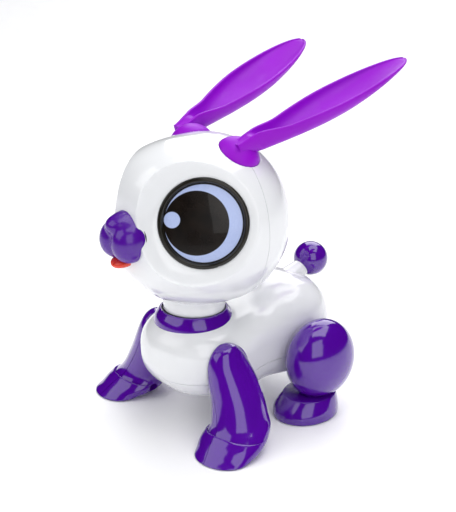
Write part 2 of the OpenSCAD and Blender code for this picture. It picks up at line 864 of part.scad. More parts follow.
// Levels of a front leg from the sole up: [z, x, y, half-width, half-length]
front_levels = [[sole_z, 43.4, -32.6, 13.8, 11.4], [4, 41.1, -25.1, 15.2, 14.8], [9.5, 39, -19, 14.3, 14.7],
    [14, 36.6, -17.1, 12.7, 14.3], [22, 33.8, -15.9, 12.2, 13], [30, 30, -16.2, 11.4, 12.1], [38, 29, -17, 7.8, 10.2],
    [43, 28.9, -18, 5.6, 8.2], [46, 29.1, -18.8, 3.5, 5.4], [47.6, 29.4, -19.2, 1.2, 2]];
toe_out = 12;
leg_air = 0.95;            // room between the front legs and the body, anywhere in their swing

module front_leg_form(inset = 0) {
    n = len(front_levels);
    for (i = [0:n - 2]) hull() for (l = [front_levels[i], front_levels[i + 1]])
        translate([l[1], l[2], l[0] + (l[0] < 5 ? inset : l[0] > 46 ? -inset : 0)]) rotate([0, 0, toe_out])
            scale([max(l[3] - inset, 0.5), max(l[4] - inset, 0.5), 1]) cylinder(r = 1, h = fine, $fn = 36);
}

module front_leg_shell() {
    difference() {
        front_leg_form();
        body_swept(front_axle, leg_air);
        difference() {
            front_leg_form(wall);
            body_swept(front_axle, leg_air + wall);
            on_axle(front_axle, 20) cylinder(r = 4.4, h = 30, $fn = 32);
            on_leg_screw() translate([0, 0, -8]) cylinder(r = 3.8, h = 30, $fn = 32);
        }
        on_axle(front_axle) cylinder(r = axle_r + 0.06, h = 2 * axle_half_len + 1, center = true, $fn = 48);
        on_leg_screw() {
            translate([0, 0, -8]) cylinder(r = 2.4, h = 11.6, $fn = 32);
            cylinder(r = 1.22, h = 8.7, $fn = 24);
        }
        front_pad(0.04);
    }
}

// Half-space outside the leg's parting plane
module leg_parting() {
    translate([30.3, 0, 28]) rotate([0, -26, 0]) translate([0, -100, -100]) cube([150, 200, 150]);
}

module front_leg_outer(side) {
    color(violet) mirrored(side) intersection() {
        front_leg_shell();
        leg_parting();
    }
}

module front_leg_inner(side) {
    color(violet) mirrored(side) difference() {
        front_leg_shell();
        leg_parting();
    }
}

// Head of the screw that holds the two halves of a leg, low on the inner side
leg_screw = [27.4, -23.4, 5.4];
leg_screw_turn = [0, 84, -14];

module on_leg_screw() {
    translate(leg_screw) rotate(leg_screw_turn) children();
}

module front_leg_screws() {
    color(steel) for (s = [-1, 1]) mirrored(s) on_leg_screw() {
        translate([0, 0, 2.4]) cylinder(r = 2.1, h = 1.2);
        translate([0, 0, 3.5]) cylinder(r = 1.2, h = 5);
    }
}

// Rubber pad let into the sole of the left front leg
module front_pad(grow = 0) {
    translate([42.6, -29.4, grow > 0 ? -1 : 0]) rotate([0, 0, toe_out]) hull() for (d = [-4.5, 4.5])
        translate([0, d, 0]) cylinder(r = 8.5 + grow, h = pad_h + grow + (grow > 0 ? 1 : 0), $fn = 32);
}

module front_foot_pads() {
    color(rubber_violet) for (s = [-1, 1]) mirrored(s) front_pad();
}

thigh_centre = [35.7, 34.4, 27.8];
thigh_radii = [14, 19, 20];

module thigh_form(inset = 0) {
    hull() translate(thigh_centre)
        scale([thigh_radii[0] - inset, thigh_radii[1] - inset, thigh_radii[2] - inset]) sphere(r = 1, $fn = 32);
}

foot_top_z = 10.4;

// Levels of a rear foot from the sole up, as for the front legs
rear_levels = [[sole_z, 33.2, 27.9, 15, 17.7], [4.6, 33.2, 28.1, 14.8, 17.4], [foot_top_z, 33.3, 30, 12.4, 14.2]];

module rear_foot_form() {
    hull() for (l = rear_levels) translate([l[1], l[2], l[0]]) rotate([0, 0, 10]) scale([l[3], l[4], 1])
        cylinder(r = 1, h = fine, $fn = 36);
}

module thigh(side) {
    color(violet) mirrored(side) difference() {
        thigh_form();
        body_swept(rear_axle, 0.8);
        rear_foot_form();
        difference() {
            thigh_form(wall);
            body_swept(rear_axle, 0.8 + wall);
            on_axle(rear_axle, 20) cylinder(r = 4.4, h = 30, $fn = 32);
        }
        on_axle(rear_axle) cylinder(r = axle_r + 0.06, h = 2 * axle_half_len + 1, center = true, $fn = 48);
    }
}

// Wedge-shaped feet under the thighs
module rear_feet() {
    color(violet) for (s = [-1, 1]) mirrored(s) difference() {
        rear_foot_form();
        rear_pad(0.04);
    }
}

module rear_pad(grow = 0) {
    translate([33, 28, grow > 0 ? -1 : 0]) rotate([0, 0, 10]) hull() for (d = [-5, 5])
        translate([0, d, 0]) cylinder(r = 9.5 + grow, h = pad_h + grow + (grow > 0 ? 1 : 0), $fn = 32);
}

module rear_foot_pads() {
    color(rubber_violet) for (s = [-1, 1]) mirrored(s) rear_pad();
}

// ================= output =================

placed() face_shell();
placed() rear_head_shell();
placed() head_base_plate();
placed() neck_bowl();
placed() neck_clip();
placed() eye_bezel(1);  // eye_bezel_left
placed() eye_bezel(-1);  // eye_bezel_right
placed() eye_lens(1);  // eye_lens_left
placed() eye_lens(-1);  // eye_lens_right
placed() eye_reflector(1);  // eye_reflector_left
placed() eye_reflector(-1);  // eye_reflector_right
placed() eye_leds();
placed() muzzle_backplate();
placed() muzzle();
placed() tongue();
placed() main_board();
placed() sound_module();
placed() microphone();
placed() head_screws();
placed() ear(1);  // ear_left
placed() ear(-1);  // ear_right
placed() ear_dome(1);  // ear_dome_left
placed() ear_dome(-1);  // ear_dome_right
placed() back_shell();
placed() belly_shell();
placed() collar_ring();
placed() neck_socket();
placed() tail_stem();
placed() tail_ball();
placed() gear_frame(1);  // gear_frame_left
placed() gear_frame(-1);  // gear_frame_right
placed() frame_spacers();
placed() motor();
placed() motor_pinion();
placed() reduction_gear();
placed() drive_gear();
placed() battery_tray();
placed() battery_cells();
placed() battery_contacts();
placed() battery_door();
placed() battery_door_screw();
placed() switch_housing();
placed() switch_slider();
placed() speaker();
placed() axle_bushes();
placed() body_screws();
placed() axle_rod(front_axle);
placed() front_sector_gear();
placed() front_leg_outer(1);  // front_leg_outer_left
placed() front_leg_outer(-1);  // front_leg_outer_right
placed() front_leg_inner(1);  // front_leg_inner_left
placed() front_leg_inner(-1);  // front_leg_inner_right
placed() front_foot_pads();
placed() front_leg_screws();
placed() axle_rod(rear_axle);
placed() rear_sector_gear();
placed() thigh(1);  // thigh_left
placed() thigh(-1);  // thigh_right
placed() rear_feet();
placed() rear_foot_pads();
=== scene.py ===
"""Looks of the walking robot rabbit toy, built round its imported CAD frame."""
import json
import math

import bmesh
import bpy
import numpy as np
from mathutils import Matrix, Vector


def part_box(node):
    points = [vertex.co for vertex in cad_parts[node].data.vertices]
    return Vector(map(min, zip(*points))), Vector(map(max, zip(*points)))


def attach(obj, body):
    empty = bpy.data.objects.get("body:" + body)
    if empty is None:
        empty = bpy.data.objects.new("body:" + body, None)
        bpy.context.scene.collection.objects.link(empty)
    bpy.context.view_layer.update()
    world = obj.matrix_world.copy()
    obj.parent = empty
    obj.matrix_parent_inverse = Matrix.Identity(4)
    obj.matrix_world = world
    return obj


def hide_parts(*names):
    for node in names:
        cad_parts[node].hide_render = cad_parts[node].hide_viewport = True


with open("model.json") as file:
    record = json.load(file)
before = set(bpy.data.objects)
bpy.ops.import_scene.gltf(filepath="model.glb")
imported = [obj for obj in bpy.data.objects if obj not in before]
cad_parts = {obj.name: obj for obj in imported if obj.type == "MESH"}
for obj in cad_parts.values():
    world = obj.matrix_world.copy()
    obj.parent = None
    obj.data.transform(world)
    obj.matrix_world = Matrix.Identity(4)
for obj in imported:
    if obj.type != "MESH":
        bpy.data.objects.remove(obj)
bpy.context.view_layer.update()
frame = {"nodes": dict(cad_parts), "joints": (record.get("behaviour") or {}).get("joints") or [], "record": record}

# ---------------------------------------------------------------- units and places
# Shapes are worked out in millimetres in the toy's drawing axes, which lie MIDDLE_Y ahead of the row's.
MM = 0.001
NECK_Y = -15.5
joints = {j["name"]: j for j in frame["joints"]}
FRONT_AXLE, REAR_AXLE = (-17.0, 38.0), (35.0, 31.5)
MIDDLE_Y = FRONT_AXLE[0] - joints["front_legs_swing"]["pos_m"][1] / MM


def in_row(points):
    """Drawing millimetres to the row's metres."""
    return (np.asarray(points, float) - [0, MIDDLE_Y, 0]) * MM


def cad_box(node):
    """A CAD node's box in drawing millimetres."""
    low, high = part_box(node)
    return np.array(low) / MM + [0, MIDDLE_Y, 0], np.array(high) / MM + [0, MIDDLE_Y, 0]


_, HEAD_HIGH = cad_box("rear_head_shell")
FACE_LOW, FACE_HIGH = cad_box("face_shell")
HEAD_R = HEAD_HIGH[0]
HEAD_CENTRE = np.array([0, -8.6, HEAD_HIGH[2] - HEAD_R])
RIDGE_AHEAD = 6.5  # how far the ridge between the eyes stands ahead of the CAD's face
HEAD_FRONT = HEAD_CENTRE[1] - FACE_LOW[1] + RIDGE_AHEAD
HEAD_BACK = HEAD_HIGH[1] - HEAD_CENTRE[1]
HEAD_CUT = FACE_LOW[2]
HEAD_SEAM_Y = FACE_HIGH[1]
BROW_POWER, CHIN_POWER, NAPE_POWER = 2.9, 2.15, 2.05
EYE_AZIMUTH, EYE_ELEVATION = math.radians(51.5), math.radians(13.5)
BEZEL_R, BEZEL_AXIAL, LENS_R = 20.3, 31.5, 17.6
DISH_R, DISH_AXIAL = 27.5, 34.6
DOME_SEAT, DOME_R = 38.5, 10.0
SEAM_GAP, SHELL_WALL = 0.24, 1.8
SIDES = ((1, "left"), (-1, "right"))

# ---------------------------------------------------------------- mesh helpers


def smooth_min(a, b, k):
    h = np.maximum(k - np.abs(a - b), 0) / k
    return np.minimum(a, b) - h * h * k / 4


def smooth_max(a, b, k):
    return -smooth_min(-a, -b, k)


def smooth_step(x, low, high):
    t = np.clip((x - low) / (high - low), 0, 1)
    return t * t * (3 - 2 * t)


def unit(v):
    v = np.asarray(v, float)
    return v / np.linalg.norm(v, axis=-1, keepdims=True)


def full_turn(steps):
    return np.linspace(0, 2 * np.pi, steps, endpoint=False)


def globe(rings, steps):
    """Angles from a pole and round it, for the rings of a closed skin without its two poles."""
    return np.meshgrid(np.linspace(0, np.pi, rings + 1)[1:-1], full_turn(steps), indexing="ij")


def skin(rings, start=None, end=None):
    """Points and faces over rings of equal length; start and end are points that close the two ends."""
    m, n = rings.shape[:2]
    points = [tuple(p) for p in rings.reshape(-1, 3)]
    faces = [(i * n + j, i * n + (j + 1) % n, (i + 1) * n + (j + 1) % n, (i + 1) * n + j)
             for i in range(m - 1) for j in range(n)]
    if start is not None:
        faces += [(len(points), (j + 1) % n, j) for j in range(n)]
        points.append(tuple(start))
    if end is not None:
        base = (m - 1) * n
        faces += [(len(points), base + j, base + (j + 1) % n) for j in range(n)]
        points.append(tuple(end))
    return points, faces


def add_skin(bm, points, faces):
    made = [bm.verts.new(p) for p in in_row(points)]
    for f in faces:
        bm.faces.new([made[i] for i in f])


def bmesh_of(points, faces):
    bm = bmesh.new()
    add_skin(bm, points, faces)
    return bm


def mark_sharp(bm, sharp):
    """Leaves sharp the edges whose two faces meet at more than this angle, in degrees."""
    for e in bm.edges:
        e.smooth = not (len(e.link_faces) == 2 and e.calc_face_angle(0) > math.radians(sharp))


def put(bm, name, body, material, stands_for, sharp=35.0):
    """Turns a bmesh into a piece of the toy that rides on a body."""
    bmesh.ops.recalc_face_normals(bm, faces=bm.faces[:])
    for f in bm.faces:
        f.smooth = True
    mark_sharp(bm, sharp)
    mesh = bpy.data.meshes.new(name)
    bm.to_mesh(mesh)
    bm.free()
    piece = bpy.data.objects.new(name, mesh)
    bpy.context.scene.collection.objects.link(piece)
    mesh.materials.append(material)
    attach(piece, body)
    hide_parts(*stands_for)
    return piece


def trim(bm, point, normal, fill=False):
    """Cuts off what lies on the side the normal points to."""
    geom = bm.verts[:] + bm.edges[:] + bm.faces[:]
    cut = bmesh.ops.bisect_plane(bm, geom=geom, plane_co=Vector(in_row(point)), plane_no=Vector(normal),
                                 clear_outer=True, dist=1e-8)
    if fill:
        edges = [e for e in cut["geom_cut"] if isinstance(e, bmesh.types.BMEdge)]
        bmesh.ops.holes_fill(bm, edges=edges)


ROUNDED_FROM = 40.0


def thicken(piece, wall, rim):
    """Gives an open skin its wall and rounds the edges of its rim, in millimetres."""
    solid = piece.modifiers.new("wall", "SOLIDIFY")
    solid.thickness = wall * MM
    solid.offset = -1
    solid.use_even_offset = False
    round_edges(piece, rim, 3)


def round_edges(piece, width, segments):
    """Rounds the edges that turn by more than ROUNDED_FROM degrees."""
    bevel = piece.modifiers.new("edges", "BEVEL")
    bevel.width = width * MM
    bevel.segments = segments
    bevel.limit_method = "ANGLE"
    bevel.angle_limit = math.radians(ROUNDED_FROM)
    bevel.miter_outer = "MITER_ARC"
    bevel.harden_normals = False


def polar_of(point, centre, axis):
    """How far a point lies along an axis, its offset from the axis and that offset's length."""
    rel = np.array(point) - centre
    along = rel @ axis
    across = rel - along * axis
    return along, across, np.linalg.norm(across)


EDGE_REACH = 1.2


def punch(bm, centre, axis, radius, reach):
    """A round hole through an open skin: the cells inside go, and the edge is drawn on to the circle."""
    centre, axis = in_row(centre), unit(axis)
    r, low, high = radius * MM, reach[0] * MM, reach[1] * MM
    doomed = []
    for f in bm.faces:
        along, _, far = polar_of(f.calc_center_median(), centre, axis)
        if far < r and low < along < high:
            doomed.append(f)
    bmesh.ops.delete(bm, geom=doomed, context="FACES")
    for v in bm.verts:
        if v.is_boundary:
            along, across, far = polar_of(v.co, centre, axis)
            if abs(far - r) < EDGE_REACH * MM and low < along < high:
                v.co += Vector(across * (r / far - 1))


UPRIGHT = 0.99


def side_frame(axis):
    """Two unit vectors square to an axis: one level and one upwards, or X and Y if it is upright."""
    if abs(axis[2]) >= UPRIGHT:
        return np.array([1.0, 0, 0]), np.array([0, 1.0, 0])
    level = unit(np.cross((0, 0, 1), axis))
    return level, np.cross(axis, level)


def turned(profile, centre, axis, steps):
    """Rings of a profile [[radius, height], ...] turned round an axis."""
    axis = unit(axis)
    u, v = side_frame(axis)
    a = full_turn(steps)
    around = np.outer(np.cos(a), u) + np.outer(np.sin(a), v)
    return np.array([np.asarray(centre) + r * around + h * axis for r, h in profile])


def rounded(corners, steps=5):
    """A profile from corners [[radius, height, fillet], ...], with each corner turned into an arc."""
    out = []
    n = len(corners)
    for i, (x, y, fillet) in enumerate(corners):
        p = np.array([x, y], float)
        if fillet <= 0 or i in (0, n - 1):
            out.append(p)
            continue
        a = unit(np.array(corners[i - 1][:2], float) - p)
        b = unit(np.array(corners[i + 1][:2], float) - p)
        for t in np.linspace(0, 1, steps):
            out.append(p + fillet * ((1 - t) ** 2 * a + t ** 2 * b))
    return out


def spline(levels, count):
    """Smooth rows through the given rows, which keep their order."""
    levels = np.asarray(levels, float)
    padded = np.vstack([2 * levels[0] - levels[1], levels, 2 * levels[-1] - levels[-2]])
    out = []
    for s in np.linspace(0, len(levels) - 1, count):
        i = min(int(s), len(levels) - 2)
        t = s - i
        a, b, c, d = padded[i:i + 4]
        out.append(0.5 * (2 * b + (c - a) * t + (2 * a - 5 * b + 4 * c - d) * t ** 2
                          + (3 * b - a - 3 * c + d) * t ** 3))
    return np.array(out)


# ---------------------------------------------------------------- materials
NOISE_LOW, NOISE_HIGH = 0.3, 0.7
COAT_ROUGHNESS = 0.04
FLOW_SCALE, SMUDGE_SCALE = 22, 60
DRAWN_STREAKS = (40, 1500, 1500)


def shader(name, **values):
    """A principled material; values that are the same all over sit on the shader's own sockets."""
    mat = bpy.data.materials.new(name)
    mat.use_nodes = True
    nodes = mat.node_tree.nodes
    bsdf = nodes["Principled BSDF"]
    for key, value in values.items():
        bsdf.inputs[key].default_value = value
    return mat, bsdf


def link(mat, a, b):
    mat.node_tree.links.new(a, b)


def node(mat, kind, **settings):
    n = mat.node_tree.nodes.new(kind)
    for key, value in settings.items():
        setattr(n, key, value)
    return n


def noise(mat, scale, detail=3.0, roughness=0.5):
    where = node(mat, "ShaderNodeTexCoord")
    n = node(mat, "ShaderNodeTexNoise")
    n.inputs["Scale"].default_value = scale
    n.inputs["Detail"].default_value = detail
    n.inputs["Roughness"].default_value = roughness
    link(mat, where.outputs["Object"], n.inputs["Vector"])
    return n.outputs["Fac"]


def spread(mat, value, low, high):
    """Maps a noise value to a range."""
    n = node(mat, "ShaderNodeMapRange")
    n.inputs["From Min"].default_value = NOISE_LOW
    n.inputs["From Max"].default_value = NOISE_HIGH
    n.inputs["To Min"].default_value = low
    n.inputs["To Max"].default_value = high
    link(mat, value, n.inputs["Value"])
    return n.outputs["Result"]


def mix(mat, value, dark, light):
    """The dark colour where the value is 0, the light one where it is 1."""
    n = node(mat, "ShaderNodeMix", data_type="RGBA")
    n.inputs["A"].default_value = (*dark, 1)
    n.inputs["B"].default_value = (*light, 1)
    link(mat, value, n.inputs["Factor"])
    return n.outputs["Result"]


def tint(mat, bsdf, value, dark, light):
    link(mat, mix(mat, value, dark, light), bsdf.inputs["Base Color"])


def bump(mat, bsdf, value, depth):
    """Raises the surface with the value, by a depth in millimetres."""
    n = node(mat, "ShaderNodeBump")
    n.inputs["Distance"].default_value = depth * MM
    n.inputs["Strength"].default_value = 1.0
    link(mat, value, n.inputs["Height"])
    link(mat, n.outputs["Normal"], bsdf.inputs["Normal"])


def moulded(name, dark, light, roughness, coat=0.0, grain=2600.0, grain_depth=0.004, **more):
    """Moulded plastic: flow marks in the colour, handling marks in the gloss, grain in the surface."""
    mat, bsdf = shader(name, **more)
    if coat:
        bsdf.inputs["Coat Weight"].default_value = coat
        bsdf.inputs["Coat Roughness"].default_value = COAT_ROUGHNESS
    tint(mat, bsdf, spread(mat, noise(mat, FLOW_SCALE, 2), 0, 1), dark, light)
    smudge = spread(mat, noise(mat, SMUDGE_SCALE, 4, 0.6), roughness * 0.75, roughness * 1.35)
    link(mat, smudge, bsdf.inputs["Roughness"])
    bump(mat, bsdf, noise(mat, grain, 2), grain_depth)
    return mat


WHITE = moulded("white_gloss", (0.80, 0.81, 0.825), (0.84, 0.85, 0.86), 0.16, coat=0.6, grain=900,
                grain_depth=0.003)
VIOLET = moulded("violet_gloss", (0.074, 0.0015, 0.29), (0.086, 0.002, 0.32), 0.13, coat=0.8, grain=800,
                 grain_depth=0.003)
EAR = moulded("ear_violet", (0.27, 0.001, 0.52), (0.32, 0.002, 0.60), 0.42, grain=3000, grain_depth=0.006,
              **{"Specular IOR Level": 0.22})
SATIN = moulded("violet_satin", (0.068, 0.0015, 0.27), (0.08, 0.002, 0.30), 0.24, coat=0.2, grain=900)
NIGHT = moulded("night_blue", (0.008, 0.004, 0.035), (0.012, 0.006, 0.05), 0.45)
BLACK = moulded("black_gloss", (0.010, 0.009, 0.007), (0.018, 0.015, 0.011), 0.16, coat=0.15,
               **{"Specular IOR Level": 0.3})
RED = moulded("tongue_red", (0.70, 0.030, 0.008), (0.80, 0.045, 0.012), 0.22, coat=0.4)
NYLON = moulded("nylon", (0.70, 0.68, 0.60), (0.78, 0.76, 0.68), 0.42, grain=2000)
GREY = moulded("grey_plastic", (0.10, 0.105, 0.12), (0.14, 0.145, 0.16), 0.5, grain=1800)
DARK = moulded("dark_plastic", (0.018, 0.018, 0.02), (0.03, 0.03, 0.034), 0.45, grain=1800)
BOARD = moulded("circuit_board", (0.01, 0.10, 0.04), (0.02, 0.16, 0.07), 0.35, grain=600)
RUBBER = moulded("rubber_violet", (0.03, 0.006, 0.08), (0.05, 0.012, 0.12), 0.75, grain=1500,
                 grain_depth=0.03)
SLEEVE = moulded("cell_sleeve", (0.03, 0.06, 0.20), (0.05, 0.09, 0.26), 0.3, coat=0.3, Metallic=0.4)


def metal(name, dark, light, roughness, streak):
    """Drawn or turned metal with fine streaks along the toy's width."""
    mat, bsdf = shader(name, Metallic=1.0)
    where = node(mat, "ShaderNodeTexCoord")
    stretch = node(mat, "ShaderNodeMapping")
    stretch.inputs["Scale"].default_value = DRAWN_STREAKS
    grain = node(mat, "ShaderNodeTexNoise")
    grain.inputs["Scale"].default_value = 1.0
    grain.inputs["Detail"].default_value = 3.0
    link(mat, where.outputs["Object"], stretch.inputs["Vector"])
    link(mat, stretch.outputs["Vector"], grain.inputs["Vector"])
    tint(mat, bsdf, spread(mat, grain.outputs["Fac"], 0, 1), dark, light)
    link(mat, spread(mat, grain.outputs["Fac"], roughness * 0.8, roughness * 1.3), bsdf.inputs["Roughness"])
    bump(mat, bsdf, grain.outputs["Fac"], streak)
    return mat


STEEL = metal("steel", (0.46, 0.47, 0.49), (0.60, 0.61, 0.63), 0.28, 0.003)
BRASS = metal("brass", (0.60, 0.42, 0.15), (0.72, 0.53, 0.22), 0.25, 0.002)


def clear_lamp():
    mat, bsdf = shader("lamp_clear", **{"Transmission Weight": 0.85, "IOR": 1.5})
    tint(mat, bsdf, spread(mat, noise(mat, 300), 0, 1), (0.85, 0.86, 0.9), (0.95, 0.95, 0.97))
    link(mat, spread(mat, noise(mat, 700), 0.04, 0.12), bsdf.inputs["Roughness"])
    return mat


LAMP = clear_lamp()

PUPIL_R, PUPIL_AT = 14.4, (-3.0, 0.1)
SPOT_R, SPOT_AT = 3.62, (-13.9, 1.55)
PRINT_R, FEATHER = 17.3, 0.12
PALE_INK = (0.40, 0.48, 0.76), (0.46, 0.54, 0.80)
DARK_INK = (0.004, 0.0025, 0.002), (0.010, 0.006, 0.004)


def eye_print():
    """Print under a clear coat: a black pupil, a pale crescent round its outer side and a round spot."""
    mat, bsdf = shader("eye_print", **{"Coat Weight": 0.25, "Coat Roughness": 0.02,
                                       "Specular IOR Level": 0.25})
    where = node(mat, "ShaderNodeUVMap", uv_map="face")

    def disc(x, y, radius):
        """1 inside a circle of the disc's own plane, in millimetres."""
        offset = node(mat, "ShaderNodeVectorMath", operation="SUBTRACT")
        offset.inputs[1].default_value = (x, y, 0)
        length = node(mat, "ShaderNodeVectorMath", operation="LENGTH")
        edge = node(mat, "ShaderNodeMapRange")
        edge.inputs["From Min"].default_value = radius + FEATHER
        edge.inputs["From Max"].default_value = radius - FEATHER
        link(mat, where.outputs["UV"], offset.inputs[0])
        link(mat, offset.outputs["Vector"], length.inputs[0])
        link(mat, length.outputs["Value"], edge.inputs["Value"])
        return edge.outputs["Result"]

    def combine(a, b, operation):
        n = node(mat, "ShaderNodeMath", operation=operation, use_clamp=True)
        link(mat, a, n.inputs[0])
        link(mat, b, n.inputs[1])
        return n.outputs["Value"]

    crescent = combine(disc(0, 0, PRINT_R), disc(*PUPIL_AT, PUPIL_R), "SUBTRACT")
    pale = combine(crescent, disc(*SPOT_AT, SPOT_R), "ADD")
    pale_ink = mix(mat, spread(mat, noise(mat, 2400, 1), 0, 1), *PALE_INK)
    dark_ink = mix(mat, spread(mat, noise(mat, 160, 4), 0, 1), *DARK_INK)
    ink = node(mat, "ShaderNodeMix", data_type="RGBA")
    link(mat, pale, ink.inputs["Factor"])
    link(mat, dark_ink, ink.inputs["A"])
    link(mat, pale_ink, ink.inputs["B"])
    link(mat, ink.outputs["Result"], bsdf.inputs["Base Color"])
    link(mat, spread(mat, noise(mat, 90, 3), 0.20, 0.34), bsdf.inputs["Roughness"])
    bump(mat, bsdf, noise(mat, 500, 1), 0.002)
    return mat


PRINT = eye_print()

# ---------------------------------------------------------------- head


def eye_axis(side):
    return np.array([side * math.sin(EYE_AZIMUTH) * math.cos(EYE_ELEVATION),
                     -math.cos(EYE_AZIMUTH) * math.cos(EYE_ELEVATION), math.sin(EYE_ELEVATION)])


DOME_TILT_X, DOME_TILT_Y = math.radians(8.4), math.radians(28)


def dome_axis(side):
    return np.array([side * math.cos(DOME_TILT_X) * math.sin(DOME_TILT_Y), math.sin(DOME_TILT_X),
                     math.cos(DOME_TILT_X) * math.cos(DOME_TILT_Y)])


DISH_FLAT_R, DISH_FAR, DISH_BLEND = BEZEL_R + 0.3, 34, 1.8
DISH_CONE, DISH_ROUNDS, OUT_OF_THE_WAY = 0.5, 60, 99
BROW_FROM, BROW_TO = -0.8, 0.15


def dish_height(r):
    """How far out along an eye's axis its dish lies, at a distance from that axis."""
    u = np.maximum(r - DISH_FLAT_R, 0) / (DISH_R - DISH_FLAT_R)
    return BEZEL_AXIAL + (DISH_AXIAL - BEZEL_AXIAL) * u ** 1.5


def head_reach(direction, dishes=True):
    """Distance from the head's centre to its surface, in the given directions."""
    ahead = -direction[..., 1]
    across = np.hypot(direction[..., 0], direction[..., 2])
    face_power = CHIN_POWER + (BROW_POWER - CHIN_POWER) * smooth_step(direction[..., 2], BROW_FROM, BROW_TO)
    power = np.where(ahead > 0, face_power, NAPE_POWER)
    length = np.where(ahead > 0, HEAD_FRONT, HEAD_BACK)
    reach = ((across / HEAD_R) ** power + (np.abs(ahead) / length) ** power) ** (-1 / power)
    if not dishes:
        return reach
    for side in (-1, 1):
        cosine = np.clip(direction @ eye_axis(side), DISH_CONE, 1)
        sine = np.sqrt(1 - cosine ** 2)
        dish = reach.copy()
        for _ in range(DISH_ROUNDS):
            dish = dish_height(np.minimum(dish * sine, DISH_FAR)) / cosine
        dish = np.where(direction @ eye_axis(side) > DISH_CONE, dish, OUT_OF_THE_WAY)
        reach = smooth_min(reach, dish, DISH_BLEND)
    return reach


def head_skin():
    a, b = globe(210, 360)
    direction = np.stack([np.sin(a) * np.cos(b), -np.cos(a), np.sin(a) * np.sin(b)], -1)
    points = HEAD_CENTRE + direction * head_reach(direction)[..., None]
    return skin(points, HEAD_CENTRE - [0, HEAD_FRONT, 0], HEAD_CENTRE + [0, HEAD_BACK, 0])


DOME_HOLE_R, DOME_HOLE_REACH = DOME_R + 0.25, (30, 60)
EYE_HOLE_R, EYE_HOLE_REACH = BEZEL_R + 0.15, (20, 60)


def head_shells():
    points, faces = head_skin()
    halves = ("face_cover", "face_shell", 1), ("rear_head_cover", "rear_head_shell", -1)
    for name, node_name, way in halves:
        bm = bmesh_of(points, faces)
        trim(bm, (0, HEAD_SEAM_Y - way * SEAM_GAP / 2, 0), (0, way, 0))
        trim(bm, (0, 0, HEAD_CUT), (0, 0, -1))
        for side in (-1, 1):
            punch(bm, HEAD_CENTRE, dome_axis(side), DOME_HOLE_R, DOME_HOLE_REACH)
            if way > 0:
                punch(bm, HEAD_CENTRE, eye_axis(side), EYE_HOLE_R, EYE_HOLE_REACH)
        piece = put(bm, name, "head", WHITE, [node_name])
        thicken(piece, SHELL_WALL, 0.3)


CAPPED_BELOW = 3


def turned_piece(name, profile, centre, axis, body, material, stands_for, closed=False, steps=128,
                 sharp=35.0):
    """A turned piece: a closed profile makes a ring, an open one gets a cap on each narrow end."""
    rings = turned(profile, centre, axis, steps)
    axis = unit(axis)
    start, end = (np.asarray(centre) + axis * h if not closed and r < CAPPED_BELOW else None
                  for r, h in (profile[0], profile[-1]))
    if closed:
        rings = np.concatenate([rings, rings[:1]])
    points, faces = skin(rings, start, end)
    bm = bmesh_of(points, faces)
    bmesh.ops.remove_doubles(bm, verts=bm.verts[:], dist=1e-7)
    return put(bm, name, body, material, stands_for, sharp)


def eyes():
    for side, word in SIDES:
        axis = eye_axis(side)
        base = HEAD_CENTRE + axis * (BEZEL_AXIAL - 2.2)
        ring = rounded([[LENS_R + 0.05, 0.0, 0], [BEZEL_R, 0.0, 0.3], [BEZEL_R, 2.9, 0.7],
                        [BEZEL_R - 1.5, 3.3, 0.5], [LENS_R + 0.5, 2.3, 0.35], [LENS_R + 0.05, 1.6, 0]], 7)
        turned_piece(f"eye_ring_{word}", ring, base, axis, "head", BLACK,
                     [f"eye_bezel_{word}"], closed=True, steps=160)
        eye_disc(side, word, axis)


def eye_disc(side, word, axis):
    """The printed disc, slightly domed, with its own flat coordinates for the print."""
    level = -unit(np.cross(axis, (0, 0, 1))) * side
    up = unit(np.array([0, 0, 1]) - axis * axis[2])
    rings, rise, thick = 26, 1.15, 1.2
    a = full_turn(128)
    radii = LENS_R * np.sqrt(np.linspace(0, 1, rings + 1)[1:])
    base = HEAD_CENTRE + axis * (BEZEL_AXIAL - 1.6)
    rows = []
    for r in radii:
        height = thick + rise * (1 - (r / LENS_R) ** 2)
        rows.append(base + r * (np.outer(np.cos(a), level) + np.outer(np.sin(a), up)) + height * axis)
    rows.append(rows[-1] - axis * thick)
    points, faces = skin(np.array(rows), base + axis * (thick + rise), base)
    bm = bmesh_of(points, faces)
    uv = bm.loops.layers.uv.new("face")
    middle = in_row(base)
    for f in bm.faces:
        for loop in f.loops:
            rel = (np.array(loop.vert.co) - middle) / MM
            loop[uv].uv = (rel @ level, rel @ up)
    put(bm, f"eye_disc_{word}", "head", PRINT, [f"eye_lens_{word}"])


# ---------------------------------------------------------------- muzzle
MUZZLE_BACK_Y = HEAD_CENTRE[1] - HEAD_FRONT - 0.9
MUZZLE_MIDDLE = np.array([0, -53.5, 101.0])
MUZZLE_SUNK, PLATE_SUNK, PLATE_GROW = 8.2, 4.5, 0.35
CHEEKS = [([side * 4.8, -53.9, 98.2], [7.4, 8.9, 9.3]) for side in (1, -1)]
NOSE_PAD, SNOUT = ([0, -55.2, 105.6], [6.6, 7.4, 5.1]), ([0, -52.0, 100.8], [9.9, 8.6, 11.0])
LOBES, LOBE_BLEND = [*CHEEKS, NOSE_PAD, SNOUT], 1.3


def lobe_distance(p, grow):
    """Smooth union of the muzzle's lobes, as a distance-like value."""
    value = None
    for centre, radii in LOBES:
        q = (p - np.array(centre)) / (np.array(radii) + grow)
        length = np.linalg.norm(q, axis=-1)
        d = (length - 1) * min(radii)
        value = d if value is None else smooth_min(value, d, LOBE_BLEND)
    return value


def muzzle_reach(direction, grow):
    """Distance from the muzzle's middle to the lobes' skin, found by halving."""
    low, high = np.zeros(direction.shape[:-1]), np.full(direction.shape[:-1], 30.0)
    for _ in range(40):
        mid = (low + high) / 2
        inside = lobe_distance(MUZZLE_MIDDLE + direction * mid[..., None], grow) < 0
        low, high = np.where(inside, mid, low), np.where(inside, high, mid)
    return low


